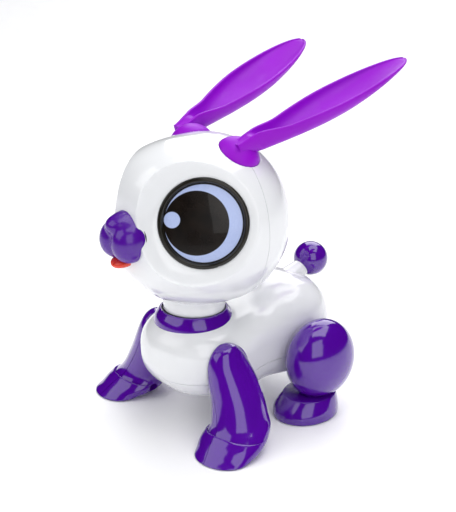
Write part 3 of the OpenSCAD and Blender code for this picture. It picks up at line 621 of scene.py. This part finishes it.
def muzzle_part(name, material, stands_for, grow=0.0, front=None):
    """A closed skin round the muzzle's middle, cut off inside the face."""
    a, b = globe(130, 180)
    direction = np.stack([np.sin(a) * np.cos(b), -np.cos(a), np.sin(a) * np.sin(b)], -1)
    points = MUZZLE_MIDDLE + direction * muzzle_reach(direction, grow)[..., None]
    ends = [MUZZLE_MIDDLE + np.array(d) * muzzle_reach(np.array([d], float), grow)[0]
            for d in ((0, -1, 0), (0, 1, 0))]
    bm = bmesh_of(*skin(points, *ends))
    trim(bm, (0, MUZZLE_BACK_Y + MUZZLE_SUNK, 0), (0, 1, 0), fill=True)
    if front is not None:
        trim(bm, (0, front, 0), (0, -1, 0), fill=True)
    put(bm, name, "head", material, stands_for, sharp=50)


def muzzle():
    muzzle_part("muzzle_cover", SATIN, ["muzzle"])


def muzzle_plate():
    """Dark plate a little wider than the muzzle, sunk behind its front."""
    muzzle_part("muzzle_plate", NIGHT, ["muzzle_backplate"], PLATE_GROW,
                MUZZLE_BACK_Y + PLATE_SUNK)


def tongue():
    """Thick rounded tongue that hangs forward under the lobes."""
    centre, tilt = np.array([0, -54.4, 88.9]), math.radians(14)
    half_w, half_l, half_t = 5.8, 6.2, 1.9
    squareness, groove_w, groove_depth = 0.75, 1.1, 0.35
    ahead = np.array([0, -math.cos(tilt), -math.sin(tilt)])
    up = np.array([0, -math.sin(tilt), math.cos(tilt)])
    a, b = globe(40, 96)
    flat = np.abs(np.sin(a)) ** squareness
    rise = np.sign(np.cos(a)) * np.abs(np.cos(a)) ** squareness * half_t
    x, y = flat * np.cos(b) * half_w, flat * np.sin(b) * half_l
    groove = groove_depth * np.exp(-(x / groove_w) ** 2) * (rise > 0)
    points = centre + x[..., None] * [1, 0, 0] + y[..., None] * ahead + (rise - groove)[..., None] * up
    bm = bmesh_of(*skin(points, centre + half_t * up - groove_depth * up, centre - half_t * up))
    trim(bm, (0, MUZZLE_BACK_Y + 0.02, 0), (0, 1, 0), fill=True)
    put(bm, "tongue_cover", "head", RED, ["tongue"], sharp=60)


# ---------------------------------------------------------------- neck
BOWL_R = 14.9
COLLAR_Z, COLLAR_TILT = 50.0, math.radians(3)


NECK_BORE_R, STEM_R, STEM_LOW, BOWL_LOW = 5, 10, 50.6, 56.5


def neck():
    """The neck's wall, which flares up to the head, on the stem that turns in the collar."""
    top = cad_box("neck_bowl")[1][2]
    centre = np.array([0, NECK_Y, 0])
    wall = rounded([[NECK_BORE_R, BOWL_LOW, 0], [BOWL_R - 0.1, BOWL_LOW, 0.5], [BOWL_R, 58.6, 0.8],
                    [BOWL_R + 0.25, 61, 0.8], [BOWL_R + 1.4, top, 0]], 7)
    stem = rounded([[NECK_BORE_R, BOWL_LOW + 0.1, 0], [NECK_BORE_R, STEM_LOW, 0.3], [STEM_R, STEM_LOW, 0.3],
                    [STEM_R, BOWL_LOW + 0.1, 0]], 4)
    bm = bmesh_of(*skin(turned(wall, centre, (0, 0, 1), 128)))
    add_skin(bm, *skin(turned(stem, centre, (0, 0, 1), 96)))
    put(bm, "neck_cover", "head", WHITE, ["neck_bowl"])


def plate_edge(direction, z):
    """Distance from the head's middle line to its surface, at one height and in one level direction."""
    low, high = 0.0, HEAD_R
    for _ in range(30):
        mid = (low + high) / 2
        p = np.array([direction[0] * mid, direction[1] * mid, z - HEAD_CENTRE[2]])
        inside = np.linalg.norm(p) < head_reach(unit(p), dishes=False)
        low, high = (mid, high) if inside else (low, mid)
    return low


def head_floor():
    """Flat plate inside the lower edge of the head, rounded below."""
    low, high = cad_box("head_base_plate")
    steps, inset = 200, 0.6
    a = full_turn(steps)
    rows = []
    for z, out in ((high[2], 0.0), (low[2] + 0.4, 0.0), (low[2] + 0.1, -0.15), (low[2], -0.5)):
        ring = np.array([plate_edge((math.cos(angle), math.sin(angle)), z) + out - inset for angle in a])
        rows.append(np.stack([ring * np.cos(a), HEAD_CENTRE[1] + ring * np.sin(a), np.full(steps, z)], -1))
    hole = turned([[NECK_BORE_R, low[2]], [NECK_BORE_R, high[2]]], (0, NECK_Y, 0), (0, 0, 1), steps)
    bm = bmesh_of(*skin(np.array(rows + [hole[0], hole[1], rows[0]])))
    bmesh.ops.remove_doubles(bm, verts=bm.verts[:], dist=1e-7)
    put(bm, "head_floor_cover", "head", WHITE, ["head_base_plate"])


def collar():
    axis = np.array([0, -math.sin(COLLAR_TILT), math.cos(COLLAR_TILT)])
    inner = BOWL_R + 0.55
    profile = rounded([[inner, -3.0, 0], [inner, 6.8, 0.2], [inner + 0.8, 6.7, 0.4], [19.0, 3.0, 1.6],
                       [19.7, 0.0, 0.5], [19.2, -1.2, 0.4], [18.2, -3.0, 0.3]], 7)
    turned_piece("collar_cover", profile, (0, NECK_Y, COLLAR_Z), axis, "body", VIOLET,
                 ["collar_ring"], closed=True, steps=160, sharp=50)


# ---------------------------------------------------------------- ears
EAR_BASE, EAR_TIP = np.array([23.0, 2, 141]), np.array([36.0, 81.8, 169.2])
EAR_FACE = np.array([-0.073, -0.371, 0.926])
EAR_LEN, EAR_HALF_W = 86.3, 13.5
ROOT_W, ROOT_D, LEAF_WALL, STALK = 4.0, 6.0, 1.5, 10.0
WIDEST_AT, SWELL_POWER, TIP_POWER = 0.574, 0.8, 0.42
RIM_W, RIM_LIP, ROOT_RISE = 1.5, 0.45, 2.3


def leaf_half_width(t):
    swell_power = np.where(t < WIDEST_AT, SWELL_POWER, TIP_POWER)
    return ROOT_W * (1 - t) + (EAR_HALF_W - 0.4 * ROOT_W) * np.sin(np.pi * t ** 1.25) ** swell_power


def leaf_depth(t):
    return ROOT_D * (1 - t) + 4 * np.sin(np.pi * t) + 1


def leaf_section(x):
    """The ear's outline square to its length: a solid stalk where x is below 0, then the cupped leaf."""
    s = max(x / EAR_LEN, 0.0)
    stalk = smooth_step(x, -STALK, 2.0)
    open_up = smooth_step(x, -3.0, 6.0)
    w = max(float(leaf_half_width(s)) * (0.8 + 0.2 * stalk), 0.25)
    d = leaf_depth(s) * min(1, (1 - s) * 30 + 0.12) * (0.62 + 0.38 * stalk)
    rim = min(RIM_W, w * 0.55)
    rise = ROOT_RISE * (1 - smooth_step(s, 0.0, 0.2)) * (0.55 + 0.45 * stalk)
    lip = RIM_LIP * min(1, rim)
    hollow_w = w - rim
    hollow_d = max(d - LEAF_WALL, 0.0) * min(1.0, hollow_w / 3.0) * smooth_step(x, -3.0, 12.0)
    arc, rim_arc = np.linspace(0, np.pi, 28), np.linspace(0, np.pi, 7)
    outside = [(-w * math.cos(a), -d * math.sin(a) ** 0.9) for a in arc]
    near_rim = [(w - rim / 2 + rim / 2 * math.cos(a), rise + lip * math.sin(a)) for a in rim_arc]
    hollow = [(hollow_w * math.cos(a), -hollow_d * math.sin(a) ** 0.8
               + rise * (1 - open_up + open_up * abs(math.cos(a)) ** 6)) for a in arc[1:-1]]
    far_rim = [(-w + rim / 2 + rim / 2 * math.cos(a), rise + lip * math.sin(a)) for a in rim_arc]
    return outside + near_rim + hollow + far_rim


def ear_sections(side):
    """Rings along the ear, from the stalk inside its dome to the leaf's tip."""
    along = unit(EAR_TIP - EAR_BASE)
    face = unit(EAR_FACE - along * (EAR_FACE @ along))
    across = np.cross(face, along)
    mirror = np.array([side, 1, 1])
    places = np.concatenate([np.linspace(-STALK, 0, 14)[:-1],
                             EAR_LEN * np.sin(np.linspace(0, np.pi / 2 - 0.012, 120))])
    rings = [[(EAR_BASE + along * x + across * u + face * v) * mirror for u, v in leaf_section(x)]
             for x in places]
    return np.array(rings), along * mirror


def ears():
    for side, word in SIDES:
        rings, along = ear_sections(side)
        start, end = rings[0].mean(0), rings[-1].mean(0) + along * 0.1
        bm = bmesh_of(*skin(rings, start, end))
        bmesh.ops.remove_doubles(bm, verts=bm.verts[:], dist=1e-8)
        put(bm, f"ear_leaf_{word}", f"{word}_ear", EAR, [f"ear_{word}"], sharp=60)
        dome(side, word)


POLE = 0.02  # turned balls stop this angle short of the pole, and a cap closes them
DOME_SPHERE_R, DOME_RISE = 11.4, 7.3


def dome(side, word):
    """Low dome that turns with the ear, on a thin stalk down into the head."""
    axis = dome_axis(side)
    profile = [[3.0, -5.0], [3.0, -0.2], [DOME_R - 0.4, 0.0], [DOME_R - 0.1, 0.1], [DOME_R, 0.4]]
    for a in np.linspace(math.asin(DOME_R / DOME_SPHERE_R), POLE, 40):
        profile.append([DOME_SPHERE_R * math.sin(a),
                        DOME_SPHERE_R * math.cos(a) - (DOME_SPHERE_R - DOME_RISE)])
    turned_piece(f"ear_base_{word}", profile, HEAD_CENTRE + axis * DOME_SEAT, axis, f"{word}_ear",
                 EAR, [f"ear_dome_{word}"], steps=112, sharp=50)


# ---------------------------------------------------------------- body form
CHEST_Y, CHEST_R, RUMP_Y, RUMP_HALF_W = -12.0, 29.0, 36.0, 26.0
BODY_FRONT, BODY_BACK = -41.0, 62.5
CHEST_MID, RUMP_MID, BELLY_Z, SEAM_Z = 37.0, 38.0, 15.0, 27.0
CHEST_RISE, CHEST_DEPTH, RUMP_RISE = 19.6, 22.8, 24
RUMP_HALF_L = BODY_BACK - RUMP_Y
WAIST_HALF_W, WAIST_RISE, WAIST_DEPTH = 22.5, 17.2, 0.95
WAIST_RAMP, BELLY_RAMP = 20, 7
BELLY_SQUARE, FLANK_SQUARE, BACK_SQUARE, CHEST_ROUND = 2.8, 2.2, 2.4, 0.35
OUTSIDE = -50


def swell(y, middle, half, power):
    u = np.abs(y - middle) / half
    return np.where(u < 1, (1 - np.minimum(u, 1) ** power) ** (1 / power), 0)


def merged(*values):
    return sum(v ** 8 for v in values) ** (1 / 8)


def waist_share(y, ramp):
    """How much of the waist counts at y, fading out over the chest and the rump."""
    return smooth_step(y, CHEST_Y, CHEST_Y + ramp) * (1 - smooth_step(y, RUMP_Y - ramp, RUMP_Y))


def plain_section(y):
    """Half-width, rise, drop and middle height of the body at y, and its lower and upper squareness."""
    waist, belly = waist_share(y, WAIST_RAMP), waist_share(y, BELLY_RAMP)
    width = merged(CHEST_R * swell(y, CHEST_Y, CHEST_R, 2),
                   RUMP_HALF_W * swell(y, RUMP_Y, RUMP_HALF_L, 2.1), WAIST_HALF_W * waist)
    up = merged(CHEST_RISE * swell(y, CHEST_Y, CHEST_R + 0.5, 2.2),
                RUMP_RISE * swell(y, RUMP_Y, RUMP_HALF_L, 2.1), WAIST_RISE * waist)
    down = CHEST_DEPTH * merged(swell(y, CHEST_Y, CHEST_R, 2.2), swell(y, RUMP_Y, RUMP_HALF_L, 2.2),
                                WAIST_DEPTH * belly)
    middle = CHEST_MID + (RUMP_MID - CHEST_MID) * np.clip((y - CHEST_Y) / (RUMP_Y - CHEST_Y), 0, 1)
    square = BELLY_SQUARE + FLANK_SQUARE * swell(y, (CHEST_Y + RUMP_Y) / 2, 26, 2)
    top_square = BACK_SQUARE - CHEST_ROUND * swell(y, CHEST_Y, CHEST_R, 2)
    return np.array([width, up, down, middle, square, top_square])


def body_section(y):
    """The plain section, averaged along the waist so that chest and rump run into it softly."""
    share = smooth_step(y, CHEST_Y - 2, CHEST_Y + 8) * (1 - smooth_step(y, RUMP_Y - 6, RUMP_Y + 4))
    steps = np.linspace(-11, 11, 12)
    weights = np.exp(-(steps / 6) ** 2)
    mean = sum(w * plain_section(y + step) for w, step in zip(weights / weights.sum(), steps))
    sharp = plain_section(y)
    return sharp + (mean - sharp) * share


def body_side(y, z):
    """The body's half-width at a place in the side view; below zero outside its outline."""
    width, up, down, middle, square, top_square = body_section(y)
    high = z > middle
    tall = np.maximum(np.where(high, up, down), 1e-3)
    power = np.where(high, top_square, square)
    u = np.abs(z - middle) / tall
    inside = (u < 1) & (width > 1e-3) & (z > BELLY_Z - 1)
    return np.where(inside, width * (1 - np.minimum(u, 1) ** power) ** (1 / power), OUTSIDE)


LEG_SWING, LEG_AIR, LEG_BLEND = 10.0, 0.8, 0.7


def clear_of_body(points, axle):
    """Moves points out sideways until the body can't touch them anywhere in the legs' swing."""
    sides = np.full(points.shape[:-1], float(OUTSIDE))
    for a in np.radians(np.linspace(-LEG_SWING, LEG_SWING, 7)):
        y, z = points[..., 1] - axle[0], points[..., 2] - axle[1]
        sides = np.maximum(sides, body_side(axle[0] + y * math.cos(a) - z * math.sin(a),
                                            axle[1] + y * math.sin(a) + z * math.cos(a)))
    out = points.copy()
    out[..., 0] = np.where(sides > 0, smooth_max(points[..., 0], sides + LEG_AIR, LEG_BLEND), points[..., 0])
    return out


def body_rings():
    """Rings of the body from front to back, flattened below, and the two end points."""
    middle, half = (BODY_FRONT + BODY_BACK) / 2, (BODY_BACK - BODY_FRONT) / 2
    turn = np.linspace(0, np.pi, 221)[1:-1]
    y = middle - half * np.cos(turn)
    width, up, down, mid, square, top_square = (v[:, None] for v in body_section(y))
    a = full_turn(288)[None, :]
    tall = np.where(np.sin(a) > 0, up, down)
    power = np.where(np.sin(a) > 0, top_square, square)
    reach = (np.abs(np.cos(a) / width) ** power + np.abs(np.sin(a) / tall) ** power) ** (-1 / power)
    x, z = reach * np.cos(a), mid + reach * np.sin(a)
    z = smooth_max(z, np.full_like(z, BELLY_Z), 1.6)
    points = np.stack([x, np.broadcast_to(y[:, None], x.shape), z], -1)
    return points, np.array([0, BODY_FRONT, CHEST_MID]), np.array([0, BODY_BACK, RUMP_MID])


NECK_HOLE_R, NECK_HOLE_REACH = BOWL_R + 0.7, (48, 90)


def body_shells():
    points, faces = skin(*body_rings())
    for name, node_name, way in (("back_cover", "back_shell", -1), ("belly_cover", "belly_shell", 1)):
        bm = bmesh_of(points, faces)
        trim(bm, (0, 0, SEAM_Z - way * SEAM_GAP / 2), (0, 0, way))
        if way < 0:
            punch(bm, (0, NECK_Y, 0), (0, 0, 1), NECK_HOLE_R, NECK_HOLE_REACH)
        piece = put(bm, name, "body", WHITE, [node_name])
        thicken(piece, SHELL_WALL, 0.25)
        if way > 0:
            cut_belly(piece)


def box_cutter(bm, low, high):
    made = bmesh.ops.create_cube(bm, size=1.0)["verts"]
    low, high = in_row(low), in_row(high)
    for v in made:
        v.co = Vector([(a + b) / 2 + c * (b - a) for a, b, c in zip(low, high, v.co)])


CUT_LOW, CUT_HIGH, DOOR_GAP = 5, 22, 0.2
SWITCH_SLOT = (-4, -25.6), (4, -20.4)
GRILLE_SLOTS, GRILLE_PITCH, GRILLE_FIRST = 4, 3, ((-5.1, 43), (-3.9, 51))
WELL_R, WELL_Z, WELL_DEPTH = 2.6, 12, 20
WELLS = ((-15, -22), (15, -22), (-9, 41), (9, 41))


def cut_belly(piece):
    """Openings in the belly for the battery door, the switch and the speaker, and the screw wells."""
    bm = bmesh.new()
    low, high = cad_box("battery_door")
    box_cutter(bm, (low[0] - DOOR_GAP, low[1] - DOOR_GAP, CUT_LOW),
               (high[0] + DOOR_GAP, high[1] + DOOR_GAP, CUT_HIGH))
    box_cutter(bm, (*SWITCH_SLOT[0], CUT_LOW), (*SWITCH_SLOT[1], CUT_HIGH))
    for i in range(GRILLE_SLOTS):
        (x0, y0), (x1, y1) = GRILLE_FIRST
        box_cutter(bm, (x0 + GRILLE_PITCH * i, y0, CUT_LOW), (x1 + GRILLE_PITCH * i, y1, CUT_HIGH + 2))
    for x, y in WELLS:
        made = bmesh.ops.create_cone(bm, cap_ends=True, segments=40, radius1=WELL_R * MM,
                                     radius2=WELL_R * MM, depth=WELL_DEPTH * MM)["verts"]
        bmesh.ops.translate(bm, verts=made, vec=Vector(in_row((x, y, WELL_Z))))
    subtract(piece, bm, 35)


def subtract(piece, bm, sharp):
    """Cuts a bmesh out of a piece and applies the piece's modifiers."""
    mesh = bpy.data.meshes.new("cutter")
    bm.to_mesh(mesh)
    bm.free()
    cutter = bpy.data.objects.new("cutter", mesh)
    bpy.context.scene.collection.objects.link(cutter)
    cut = piece.modifiers.new("openings", "BOOLEAN")
    cut.operation = "DIFFERENCE"
    cut.solver = "EXACT"
    cut.object = cutter
    settle(piece, sharp)
    bpy.data.objects.remove(cutter)


def settle(piece, sharp):
    """Applies a piece's modifiers to its mesh."""
    bpy.context.view_layer.update()
    graph = bpy.context.evaluated_depsgraph_get()
    mesh = bpy.data.meshes.new_from_object(piece.evaluated_get(graph))
    piece.modifiers.clear()
    piece.data = mesh
    bm = bmesh.new()
    bm.from_mesh(mesh)
    mark_sharp(bm, sharp)
    bm.to_mesh(mesh)
    bm.free()


# ---------------------------------------------------------------- tail
TAIL_CENTRE, TAIL_R, TAIL_TILT = np.array([0, 59.4, 64.0]), 8.8, math.radians(118)


def tail():
    axis = np.array([0, -math.sin(TAIL_TILT), math.cos(TAIL_TILT)])
    ball = [[TAIL_R * math.sin(a), -TAIL_R * math.cos(a)] for a in np.linspace(POLE, np.pi - POLE, 72)]
    turned_piece("tail_ball_cover", ball, TAIL_CENTRE, axis, "body", VIOLET, ["tail_ball"])
    stem = rounded([[2.5, -1.0, 0], [2.5, 5.0, 0], [4.2, 5.4, 0.3], [4.6, 8, 0.8], [6.5, 17, 0]], 6)
    turned_piece("tail_stem_cover", stem, TAIL_CENTRE, axis, "body", WHITE, ["tail_stem"])


# ---------------------------------------------------------------- front legs
TOE_OUT = math.radians(12)
LEG_LEVELS = [[0.4, 43.4, -33.2, 13.7, 10.8], [4, 41, -25, 15.3, 15], [9.5, 39.1, -19, 14.1, 14.9],
              [14, 36.6, -17, 12.8, 14.2], [22, 33.4, -15.9, 11.8, 13.2], [30, 29.8, -16.1, 10.9, 12.4],
              [38, 27.4, -17, 8.7, 10.6], [42.5, 27, -17.4, 7, 8.4], [45, 27.2, -17.6, 5.2, 6],
              [46.7, 27.4, -17.7, 2.7, 2.9]]
LEG_TOP, STEP_OUT = 47.1, 1.0
PARTING_LEAN, PARTING_AT = math.radians(26), np.array([30.3, 0, 28])
LEG_SCREW, LEG_SCREW_TURN = np.array([27.4, -23.4, 5.4]), (math.radians(84), math.radians(-14))
LEG_SCREW_R, LEG_SCREW_OUT, LEG_SCREW_IN = 2.4, -10, 3.6
SHOE_Z, SHOE_TOE_RISE, SHOE_EDGE, SHOE_GROOVE = 7.4, 2.2, 0.45, 0.3


def leg_table():
    """Dense levels of the leg against the root of the depth below its top, which rounds the top off."""
    levels = np.array(LEG_LEVELS, float)
    depth = np.sqrt(LEG_TOP - levels[:, 0])
    rows = np.column_stack([depth, levels[:, 1:]])[::-1]
    rows = np.vstack([[0, *rows[0, 1:3], 0, 0], rows])
    return spline(rows, 600)


def leg_rings():
    """Rings of the left front leg from sole to top; the shoe stands proud under a step round the toe."""
    table = leg_table()
    angle = full_turn(168)
    toe = smooth_step(np.cos(angle), -0.35, 0.75)
    step_z = SHOE_Z + SHOE_TOE_RISE * np.maximum(np.cos(angle), 0) ** 2
    brim = STEP_OUT * 0.65

    def ring(z, out):
        depth = np.sqrt(np.maximum(LEG_TOP - z, 0))
        x, y, half_w, half_l = (np.interp(depth, table[:, 0], table[:, k]) for k in range(1, 5))
        u, v = (half_w + out) * np.sin(angle), -(half_l + out) * np.cos(angle)
        c, s = math.cos(TOE_OUT), math.sin(TOE_OUT)
        return np.stack([x + u * c - v * s, y + u * s + v * c, np.broadcast_to(z, u.shape)], -1)

    sole = LEG_LEVELS[0][0]
    flat = np.full(len(angle), sole)
    rings = [ring(flat, -0.8), ring(flat, -0.45), ring(flat + 0.12, -0.15), ring(flat + 0.4, 0.0)]
    for f in np.linspace(0.04, 1, 30):
        z = sole + 0.4 + (step_z - sole - 0.4) * f
        rings.append(ring(z, STEP_OUT * toe * smooth_step(f, 0.1, 0.8)))
    for t in np.linspace(0.2, 1, 6):
        turn = math.pi / 2 * t
        out = STEP_OUT * toe * (1 - 0.35 * (1 - math.cos(turn)))
        rings.append(ring(step_z + SHOE_EDGE * toe * math.sin(turn), out))
    for t in (0.35, 0.7, 1.0):
        out = toe * (brim - (brim + SHOE_GROOVE) * t)
        rings.append(ring(step_z + toe * (SHOE_EDGE - 0.35 * t), out))
    start = np.sqrt(LEG_TOP - (step_z + 0.1 * toe))
    for t in np.linspace(0.015, 0.995, 90):
        z = LEG_TOP - (start * (1 - t)) ** 2
        rings.append(ring(z, -SHOE_GROOVE * toe * (1 - smooth_step(t, 0.0, 0.25))))
    return np.array(rings)


def bore(piece, start, axis, radius, low, high):
    """Cuts a round hole along an axis, from low to high of its start."""
    start, axis = np.asarray(start), np.asarray(axis)
    rings = turned([[radius, low], [radius, high]], start, axis, 48)
    bm = bmesh_of(*skin(rings, start + axis * low, start + axis * high))
    bmesh.ops.recalc_face_normals(bm, faces=bm.faces[:])
    subtract(piece, bm, 50)


def front_legs():
    rings = clear_of_body(leg_rings(), FRONT_AXLE)
    points, faces = skin(rings, rings[0].mean(0), rings[-1].mean(0))
    normal = np.array([math.cos(PARTING_LEAN), 0, math.sin(PARTING_LEAN)])
    tilt, turn = LEG_SCREW_TURN
    inwards = np.array([math.sin(tilt) * math.cos(turn), math.sin(tilt) * math.sin(turn), math.cos(tilt)])
    for side, word in SIDES:
        mirror = np.array([side, 1, 1])
        for half, way in (("outer", -1), ("inner", 1)):
            bm = bmesh_of(np.array(points) * mirror, faces)
            trim(bm, (PARTING_AT - normal * way * SEAM_GAP / 2) * mirror, normal * way * mirror, fill=True)
            piece = put(bm, f"front_leg_{half}_cover_{word}", "front_legs", VIOLET,
                        [f"front_leg_{half}_{word}"], sharp=50)
            if half == "inner":
                bore(piece, LEG_SCREW * mirror, inwards * mirror, LEG_SCREW_R, LEG_SCREW_OUT, LEG_SCREW_IN)


# ---------------------------------------------------------------- rear legs
THIGH_CENTRE, THIGH_RADII = np.array([35.7, 34.4, 27.8]), np.array([14.0, 19, 20])


FOOT_LEVELS = [[0.4, 33.2, 27.9, 14.4, 17.1], [0.7, 33.2, 27.9, 15, 17.7], [4.6, 33.2, 28.1, 14.8, 17.4],
               [9.9, 33.3, 29.9, 12.6, 14.4], [10.4, 33.3, 30, 12.0, 13.8]]
FOOT_TURN = math.radians(10)


def thighs():
    a, b = globe(120, 168)
    direction = np.stack([np.cos(a), np.sin(a) * np.cos(b), np.sin(a) * np.sin(b)], -1)
    points = clear_of_body(THIGH_CENTRE + direction * THIGH_RADII, REAR_AXLE)
    poles = np.array([[THIGH_RADII[0], 0, 0], [-THIGH_RADII[0], 0, 0]])
    ends = clear_of_body(THIGH_CENTRE + poles, REAR_AXLE)
    points, faces = skin(points, ends[0], ends[1])
    for side, word in SIDES:
        bm = bmesh_of(np.array(points) * [side, 1, 1], faces)
        put(bm, f"thigh_cover_{word}", "rear_legs", VIOLET, [f"thigh_{word}"], sharp=50)


def rear_feet():
    """Both feet, ovals turned out a little, in one piece as in the CAD."""
    feet = bmesh.new()
    t = full_turn(96)
    for side, _ in SIDES:
        rows = []
        for z, x, y, half_w, half_l in spline(FOOT_LEVELS, 24):
            u, v = half_w * np.cos(t), half_l * np.sin(t)
            rows.append(np.stack([side * (x + u * math.cos(FOOT_TURN) - v * math.sin(FOOT_TURN)),
                                  y + u * math.sin(FOOT_TURN) + v * math.cos(FOOT_TURN),
                                  np.full(len(t), z)], -1))
        add_skin(feet, *skin(np.array(rows), rows[0].mean(0), rows[-1].mean(0)))
    put(feet, "rear_feet_cover", "rear_legs", VIOLET, ["rear_feet"], sharp=50)


# ---------------------------------------------------------------- carried-over CAD nodes
BY_SLOT = {"white_shell": WHITE, "violet_gloss": VIOLET, "ear_violet": EAR, "night_blue": NIGHT,
           "black_gloss": BLACK, "eye_print": BLACK, "tongue_red": RED, "steel": STEEL, "nylon": NYLON,
           "grey_plastic": GREY, "dark_plastic": DARK, "circuit_board": BOARD, "brass": BRASS,
           "rubber_violet": RUBBER, "cell_sleeve": SLEEVE, "lamp_clear": LAMP}
WELD_DISTANCE, NODE_EDGE = 1e-6, 0.12


def dress_nodes():
    """Every CAD node takes the material of its slot, welded and with rounded edges."""
    for part in frame["record"]["subparts"]:
        piece = frame["nodes"][part["node"]]
        piece.data.materials.clear()
        piece.data.materials.append(BY_SLOT[part["material_slot"]])
        if piece.hide_render:
            continue
        weld = piece.modifiers.new("weld", "WELD")
        weld.merge_threshold = WELD_DISTANCE
        round_edges(piece, NODE_EDGE, 2)


# ---------------------------------------------------------------- stage
CAMERA_TARGET = (1.40, 4.01, 77.97)
CAMERA_BACK = (0.7365, -0.5840, 0.3415)
CAMERA_FAR, CAMERA_LENS = 534.3, 78.1
SKY, KEY, SIDE, TOP, BACK = 0.42, 3.6, 3.2, 6.5, 36.0
LIT_POINT, FLOOR_HALF = Vector((0, 0, 0.07)), 6.0


def camera():
    data = bpy.data.cameras.new("camera")
    cam = bpy.data.objects.new("camera", data)
    bpy.context.scene.collection.objects.link(cam)
    back = Vector(unit(CAMERA_BACK))
    cam.location = Vector(in_row(CAMERA_TARGET)) + back * CAMERA_FAR * MM
    cam.rotation_mode = "QUATERNION"
    cam.rotation_quaternion = (-back).to_track_quat("-Z", "Y")
    data.lens = CAMERA_LENS
    data.sensor_width = 36.0
    data.clip_start, data.clip_end = 0.01, 20
    bpy.context.scene.camera = cam


def soft_light(name, at, size, power):
    data = bpy.data.lights.new(name, "AREA")
    data.shape = "RECTANGLE"
    data.size, data.size_y = size
    data.energy = power
    lamp = bpy.data.objects.new(name, data)
    bpy.context.scene.collection.objects.link(lamp)
    lamp.location = at
    aim = LIT_POINT - lamp.location
    lamp.rotation_mode = "QUATERNION"
    lamp.rotation_quaternion = aim.to_track_quat("-Z", "Y")


def floor():
    mat, bsdf = shader("paper_floor")
    tint(mat, bsdf, spread(mat, noise(mat, 8, 3), 0, 1), (0.975, 0.975, 0.98), (0.99, 0.99, 0.99))
    link(mat, spread(mat, noise(mat, 40, 3), 0.55, 0.7), bsdf.inputs["Roughness"])
    corners = [(x * FLOOR_HALF, y * FLOOR_HALF, 0) for x, y in ((-1, -1), (1, -1), (1, 1), (-1, 1))]
    mesh = bpy.data.meshes.new("floor")
    mesh.from_pydata(corners, [], [(0, 1, 2, 3)])
    obj = bpy.data.objects.new("floor", mesh)
    bpy.context.scene.collection.objects.link(obj)
    mesh.materials.append(mat)


def studio():
    """Soft boxes over and beside the toy; the plain surroundings light it but aren't mirrored in it."""
    world = bpy.data.worlds.new("studio")
    bpy.context.scene.world = world
    world.use_nodes = True
    world.cycles_visibility.glossy = False
    sky = world.node_tree.nodes["Background"]
    sky.inputs["Color"].default_value = (0.95, 0.96, 1.0, 1)
    sky.inputs["Strength"].default_value = SKY
    soft_light("key", (-0.30, -0.80, 0.80), (1.0, 0.8), KEY)
    soft_light("side", (0.95, -0.35, 0.60), (0.7, 0.9), SIDE)
    soft_light("top", (0.15, 0.20, 1.10), (0.9, 0.9), TOP)
    soft_light("back", (-1.3, 1.5, 1.7), (2.0, 2.0), BACK)
    bpy.context.scene.view_settings.view_transform = "Standard"


head_shells()
eyes()
muzzle()
muzzle_plate()
tongue()
neck()
head_floor()
collar()
ears()
body_shells()
tail()
front_legs()
thighs()
rear_feet()
dress_nodes()
camera()
floor()
studio()
